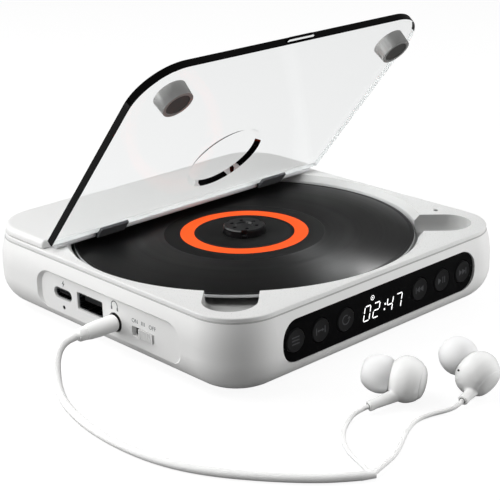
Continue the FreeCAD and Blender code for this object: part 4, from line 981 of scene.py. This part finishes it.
@dataclass
class CaseShells:
    """White mouldings with the rail, feet and screws."""

    rail_front: float = 31.4
    rail_floor: float = 27.45
    port_x: float = -65.4
    port_span: Flat = (-41.2, 32.2)
    seam: Flat = (25.55, 26.05)
    top: float = 27.4
    well: float = 63.3
    scoop_angles: Flat = (-45.0, -136.5)
    scoop_span: Flat = (60.0, 81.0)
    scoop_half: float = 8.8
    groove: float = 0.42
    near: float = 0.05

    def build(self) -> None:
        """Dress the shells."""
        dress_faces("bottom_housing", [CASE_ABS, PORT_ABS, SEAM_SHADE], self.shell_face)
        dress_faces("top_frame", [RIM_ABS, WELL_SHADE, SCOOP_SHADE], self.rim_face)
        dress_faces("rear_deck", [CASE_ABS, RAIL_SHADE, SEAM_SHADE], self.deck_face)
        dress(FOOT_RUBBER, "rubber_feet")
        dress(GROUND_STEEL, "case_screws", "hinge_pins")

    def shell_face(self, centre: Vector, normal: Vector) -> int:
        """Tell the recessed port panel and the seam, painted grey as painted shade, from the rest of the
        lower shell.

        Args:
            centre: Middle of the face, in millimetres.
            normal: Its outward direction.

        Returns:
            Index of its finish.
        """
        # The seam's groove takes painted shade.
        if self.seam[0] < centre.z < self.seam[1] and normal.z > 0.2:
            return 2
        on_panel = abs(centre.x - self.port_x) < self.near and normal.x < -0.9
        return int(on_panel and self.port_span[0] < centre.y < self.port_span[1])

    def rim_face(self, centre: Vector, normal: Vector) -> int:
        """Tell the rim from the well's wall and from the finger scoops, both painted grey as painted shade.

        Args:
            centre: Middle of the face, in millimetres.
            normal: Its outward direction.

        Returns:
            Index of its finish.
        """
        x, y, z = centre
        if z > self.top - self.near:
            return 0
        # Faces in the finger scoops take the painted shade.
        for angle in self.scoop_angles:
            turn = math.radians(angle)
            out = x * math.cos(turn) + y * math.sin(turn)
            aside = y * math.cos(turn) - x * math.sin(turn)
            if self.scoop_span[0] < out < self.scoop_span[1] and abs(aside) < self.scoop_half:
                return 2
        # Faces inside the well take the wall's painted shade.
        return int(math.hypot(x, y) < self.well)

    def deck_face(self, centre: Vector, normal: Vector) -> int:
        """Tell the hinge rail and the groove round the deck, both painted grey as painted shade, from the
        rear deck.

        Args:
            centre: Middle of the face, in millimetres.
            normal: Its outward direction.

        Returns:
            Index of its finish.
        """
        # The rail's faces take the painted shade.
        if centre.y < self.rail_front:
            return int(centre.z > self.rail_floor)
        # The groove round the deck takes painted shade.
        in_groove = self.top < centre.z < self.top + self.groove
        return 2 if in_groove and abs(normal.z) < 0.99 else 0


@dataclass
class ClearLid:
    """Clear lid with its stops, pads and knuckles."""

    open_angle: float = 50.0
    hinge: Flat = (28.7, 28.9)
    flat_share: float = 0.93
    edge_share: float = 0.2
    left_share: float = 0.3
    front_share: float = 0.45
    pocket: float = 16.2
    pocket_shade_span: Flat = (-22.0, 118.0)
    pocket_glints: Outline = ((36.0, 44.0), (50.0, 58.0), (106.0, 118.0))

    def build(self) -> None:
        """Dress the lid: clear faces, and edges painted dark as painted shade and pale as painted highlight.
        """
        dress_faces("lid_panel", [ClearAcrylic(), LID_EDGE_SHADE, LID_EDGE_GLINT], self.lid_face)
        dress(STOP_ALUMINIUM, "lid_posts")
        dress(PAD_RUBBER, "lid_post_pads")
        dress(KNUCKLE_ACETAL, "hinge_knuckles")

    def lid_face(self, centre: Vector, normal: Vector) -> int:
        """Tell the lid's clear faces from its edges painted dark as shade and those painted pale as highlight
        at the hinge, the right and the pocket's glints.

        Args:
            centre: Middle of the face, in millimetres.
            normal: Its outward direction.

        Returns:
            Index of its finish.
        """
        angle = math.radians(self.open_angle)
        outward = Vector((0, math.sin(angle), math.cos(angle)))
        forward = Vector((0, -math.cos(angle), math.sin(angle)))
        if abs(normal.dot(outward)) > self.flat_share:
            return 0
        y, z = centre.y - self.hinge[0], centre.z - self.hinge[1]
        across, down = centre.x, y * math.cos(angle) - z * math.sin(angle) + self.hinge[0]
        if math.hypot(across, down) > self.pocket:
            # Edges on the left and the front take painted shade, the others painted highlight.
            if normal.x < -self.left_share or normal.dot(forward) > self.front_share:
                return 1
            return 2 if abs(normal.dot(outward)) < self.edge_share else 0
        # The pocket's wall gets a painted dark crescent, broken by painted glints.
        turn = math.degrees(math.atan2(down, across))
        if any(low < turn < high for low, high in self.pocket_glints):
            return 2
        return int(self.pocket_shade_span[0] < turn < self.pocket_shade_span[1])


@dataclass
class DiscDrive:
    """Disc, hub and the drive under them."""

    label_edge: float = 28.5
    rim_edge: float = 59.87
    outline: Outline = (
        (7.5, 23.9), (7.5, 24.8), (7.65, 24.95), (16.2, 24.95), (16.35, 24.92), (16.65, 24.92),
        (16.8, 24.95), (28.4, 24.95), (28.5, 24.92), (28.8, 24.92), (28.9, 24.95), (58.3, 24.95),
        (58.4, 24.92), (58.7, 24.92), (58.8, 24.95), (59.6, 24.95), (59.9, 24.86), (60.0, 24.65),
        (60.0, 24.0), (59.85, 23.82), (59.6, 23.75), (7.65, 23.75))

    def build(self) -> list[Piece]:
        """Make the disc and dress the drive.

        Returns:
            The disc and the hub, which the small lamp lights.
        """
        shape = lathe(self.outline, ring=True, sides=180)
        for face in shape.faces:
            centre = face.calc_center_median() / MM
            radius = math.hypot(centre.x, centre.y)
            # The rim takes the painted highlight; the label and the grooves keep their print.
            face.material_index = 2 if radius > self.rim_edge else 0 if radius < self.label_edge else 1
        disc = mesh_piece("printed_disc", shape, PrintedLabel(), RecordGrooves(), DISC_RIM_GLINT)
        keep(disc, "spindle", "disc_black", "compact_disc")
        dress(HUB_PLASTIC, "spindle_hub", "hub_pawls")
        dress(DARK_RUBBER, "platter_ring", "damper_bushes", "button_dome_strip")
        dress(GROUND_STEEL, "spindle_shaft", "guide_rods", "lead_screw", "damper_screws", "board_screws")
        dress(ZINC_STEEL, "drive_chassis", "spindle_motor", "sled_motor")
        dress(SLED_PLASTIC, "pickup_sled")
        dress(LENS_GLASS, "objective_lens")
        dress(BOARD_MASK, "main_board", "key_board")
        dress(CELL_WRAP, "battery_cell")
        return [disc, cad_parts["spindle_hub"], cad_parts["hub_pawls"]]


class Segment(Enum):
    """Strokes of a seven-segment digit."""

    TOP = "a"
    RIGHT_UPPER = "b"
    RIGHT_LOWER = "c"
    BOTTOM = "d"
    LEFT_LOWER = "e"
    LEFT_UPPER = "f"
    MIDDLE = "g"


LIT = {"0": "abcdef", "2": "abged", "4": "fgbc", "7": "abc"}


@dataclass(frozen=True)
class DishedFace:
    """Dished front of a key, which takes its printed mark."""

    middle: Vector
    depth: float
    rim: float

    def at(self, across: float, rise: float, lift: float) -> Vector:
        """Give the point in metres for a place on the dish in millimetres."""
        dish = self.depth * (1 - min(math.hypot(across, rise) / self.rim, 1))
        return (self.middle + Vector((across, dish - lift, rise))) * MM


@dataclass(frozen=True)
class Mark:
    """Printed mark: lines of one width, and filled plates."""

    lines: tuple[Sequence[Flat], ...] = ()
    plates: tuple[Sequence[Flat], ...] = ()

    def piece(self, name: str, at: Placer, width: float, thick: float, ink: Surface) -> Piece:
        """Print the mark on a face.

        Args:
            name: Name of the printed piece.
            at: Places a point and its lift on the face.
            width: Width of the lines.
            thick: Thickness of the ink, half of it below the face.
            ink: Finish of the print.

        Returns:
            The printed piece.
        """
        shape = bmesh.new()
        for line in self.lines:
            add_stroke(shape, line, width, at, thick)
        for plate in self.plates:
            add_plate(shape, plate, at, thick)
        return mesh_piece(name, shape, ink)


def upright(across: float, half: float) -> list[Flat]:
    """Give an upright line across the mark's middle."""
    return [(across, -half), (across, 0.0), (across, half)]


def head(back: float, point: float, half: float) -> list[Flat]:
    """Give an arrow head from its back edge to its point."""
    return [(back, half), (point, 0.0), (back, -half)]


# Marks of the keys from left to right: bars, two stops, an open ring, skip back, play and skip on.
KEY_MARKS = {
    "mode": Mark(tuple([(u, rise) for u in (-1.6, -0.5, 0.5, 1.6)] for rise in (-1.1, 0.0, 1.1))),
    "repeat": Mark((upright(-1.9, 1.2), upright(1.9, 1.2), [(-0.7, 0.0), (0.7, 0.0)]),
                   (head(-0.7, -1.5, 0.55), head(0.7, 1.5, 0.55))),
    "loop": Mark((arc((0, 0), 1.5, 60, 360),), ([(0.8, 0.1), (2.2, 0.1), (1.5, 1.0)],)),
    "previous": Mark((upright(-1.85, 1.1),), (head(1.8, 0.2, 1.1), head(0.1, -1.5, 1.1))),
    "play": Mark((upright(0.55, 1.1), upright(1.5, 1.1)), (head(-2.0, -0.2, 1.2),)),
    "next": Mark((upright(1.85, 1.1),), (head(-1.8, -0.2, 1.1), head(-0.1, 1.5, 1.1)))}


@dataclass
class FrontPanel:
    """Glossy panel with its keys, their marks and the lit display."""

    face_y: float = -65.8
    level: float = 15.75
    key_places: tuple[float, ...] = (-40.3, -29.3, -17.9, 17.9, 29.3, 40.3)
    key_face: float = -66.15
    key_dish: float = 0.25
    key_rim: float = 3.6
    mark_width: float = 0.38
    mark_thick: float = 0.06
    digit_height: float = 4.9
    digit_width: float = 2.7
    digit_slant: float = 0.2
    digit_stroke: float = 0.38
    digit_base: float = 12.35
    digit_places: tuple[float, ...] = (-9.6, -5.2, 1.3, 5.7)
    segment_gap: float = 0.16
    shown_time: str = "0247"
    colon_across: float = 0.25
    colon_shares: Flat = (0.3, 0.66)
    colon_half: float = 0.3
    icon_place: Flat = (-5.2, 19.5)
    icon_radii: Flat = (0.24, 0.75)
    icon_line: float = 0.18

    def build(self) -> None:
        """Dress the panel, print the keys and light the display."""
        dress(PANEL_GLOSS, "front_lens", "display_module")
        for (name, mark), place in zip(KEY_MARKS.items(), self.key_places):
            dress(KEY_ABS, name + "_button")
            face = DishedFace(Vector((place, self.key_face, self.level)), self.key_dish, self.key_rim)
            piece = mark.piece(name + "_mark", face.at, self.mark_width, self.mark_thick, KEY_INK)
            keep(piece, name + "_key", "key_grey")
        keep(self.build_display(), "case", "panel_black")

    def build_display(self) -> Piece:
        """Light the digits, the colon and a small disc above them.

        Returns:
            The lit marks.
        """
        plane = PrintPlane(Vector((0, self.face_y, 0)), Vector((1, 0, 0)), Vector((0, -1, 0)))
        inner, outer = self.icon_radii
        plates = [self.segment_outline(segment, place)
                  for digit, place in zip(self.shown_time, self.digit_places)
                  for segment in Segment if segment.value in LIT[digit]]
        for share in self.colon_shares:
            u, v = self.leaned(self.colon_across, share * self.digit_height)
            plates.append([(u + self.colon_half * a, v + self.colon_half * b)
                           for a, b in ((-1, -1), (1, -1), (1, 1), (-1, 1))])
        plates.append(arc(self.icon_place, inner, 0, 330, 11))
        shape = bmesh.new()
        for plate in plates:
            add_plate(shape, plate, plane.at, self.mark_thick)
        ring = arc(self.icon_place, outer, 0, 345, 23)
        add_stroke(shape, ring, self.icon_line, plane.at, self.mark_thick, closed=True)
        return mesh_piece("display_marks", shape, DIGIT_LIGHT)

    def leaned(self, across: float, rise: float) -> Flat:
        """Lean a point of a digit to the right as it rises."""
        return across + self.digit_slant * rise, self.digit_base + rise

    def segment_outline(self, segment: Segment, place: float) -> list[Flat]:
        """Give the outline of one stroke of a digit.

        Args:
            segment: Which stroke.
            place: Left edge of the digit at its foot.

        Returns:
            Corners on the panel, in millimetres.
        """
        wide, tall, half = self.digit_width, self.digit_height, self.digit_stroke / 2
        start, end = (Vector(p) for p in {
            Segment.TOP: ((0, tall), (wide, tall)), Segment.MIDDLE: ((0, tall / 2), (wide, tall / 2)),
            Segment.BOTTOM: ((0, 0), (wide, 0)), Segment.LEFT_UPPER: ((0, tall / 2), (0, tall)),
            Segment.LEFT_LOWER: ((0, 0), (0, tall / 2)),
            Segment.RIGHT_UPPER: ((wide, tall / 2), (wide, tall)),
            Segment.RIGHT_LOWER: ((wide, 0), (wide, tall / 2))}[segment])
        ahead = (end - start).normalized()
        side = Vector((-ahead.y, ahead.x)) * half
        start, end = start + ahead * self.segment_gap, end - ahead * self.segment_gap
        near, far = start + ahead * half, end - ahead * half
        corners = [start, near - side, far - side, end, far + side, near + side]
        return [self.leaned(place + c.x, c.y) for c in corners]


@dataclass
class PortSide:
    """Sockets, switch and printed marks on the left wall."""

    face_x: float = -65.4
    ink_thick: float = 0.05
    line: float = 0.34
    text_size: float = 2.0
    text_base: float = 15.5
    words: tuple[tuple[str, float], ...] = (("ON", 17.2), ("OFF", 25.8))
    bar_places: tuple[float, ...] = (22.2, 22.9, 23.6)
    bar_span: Flat = (15.6, 16.9)
    bolt_place: Flat = (-19.4, 18.4)
    bolt: Outline = (
        (0.35, 1.3), (-0.75, -0.15), (-0.1, -0.15), (-0.35, -1.3), (0.75, 0.2), (0.1, 0.2))
    band_place: Flat = (8.5, 18.5)
    band_radius: float = 1.55
    cups: tuple[float, ...] = (7.0, 10.0)
    cup_span: Flat = (18.1, 16.9)

    def build(self) -> None:
        """Dress the sockets and print their marks: a bolt, a headset, and bars between two words."""
        dress(SOCKET_TIN, "usb_a_shell", "usb_c_shell")
        dress(SOCKET_NYLON, "usb_a_insert", "usb_c_insert", "headphone_socket", "slide_switch_body",
              "lid_sensor")
        dress(KNOB_ABS, "slide_switch_knob")
        dress(LIGHT_GUIDE, "status_light_pipe")
        plane = PrintPlane(Vector((self.face_x, 0, 0)), Vector((0, -1, 0)), Vector((-1, 0, 0)))
        shape = bmesh.new()
        bolt = [(self.bolt_place[0] + u, self.bolt_place[1] + v) for u, v in self.bolt]
        add_plate(shape, bolt, plane.at, self.ink_thick)
        band = arc(self.band_place, self.band_radius, -20, 200)
        add_stroke(shape, band, self.line, plane.at, self.ink_thick)
        for places, (start, end), width in ((self.cups, self.cup_span, 2 * self.line),
                                            (self.bar_places, self.bar_span, 0.8 * self.line)):
            for across in places:
                add_stroke(shape, [(across, start), (across, end)], width, plane.at, self.ink_thick)
        keep(mesh_piece("port_marks", shape, CASE_INK), "case", "case_white")
        for word, across in self.words:
            keep(self.build_word(word, across, plane), "case", "case_white")

    def build_word(self, word: str, across: float, plane: PrintPlane) -> Piece:
        """Print one word by the switch.

        Args:
            word: What it says.
            across: Its left end on the panel.
            plane: Face that it is printed on.

        Returns:
            The printed word.
        """
        name = word.lower() + "_word"
        text = bpy.data.curves.new(name, "FONT")
        text.body = word
        text.size = self.text_size * MM
        text.extrude = self.ink_thick / 2 * MM
        mesh = baked(placed(name + "_stock", text))
        pose = Matrix((plane.right, plane.up, plane.out)).transposed().to_4x4()
        pose.translation = plane.at(across, self.text_base, 0)
        mesh.transform(pose)
        coat(mesh, CASE_INK)
        return placed(name, mesh)


def main() -> None:
    """Build the scene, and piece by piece."""
    logging.basicConfig(level=logging.INFO, format="%(name)s: %(message)s")
    clear_startup()
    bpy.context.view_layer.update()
    studio = Studio()
    studio.build()
    studio.earphone_lamp.hang_for(Earphones().build())
    studio.disc_lamp.hang_for(DiscDrive().build())
    for part in (CaseShells(), ClearLid(), FrontPanel(), PortSide()):
        part.build()
    bpy.context.view_layer.update()


if __name__ == "__main__":
    main()
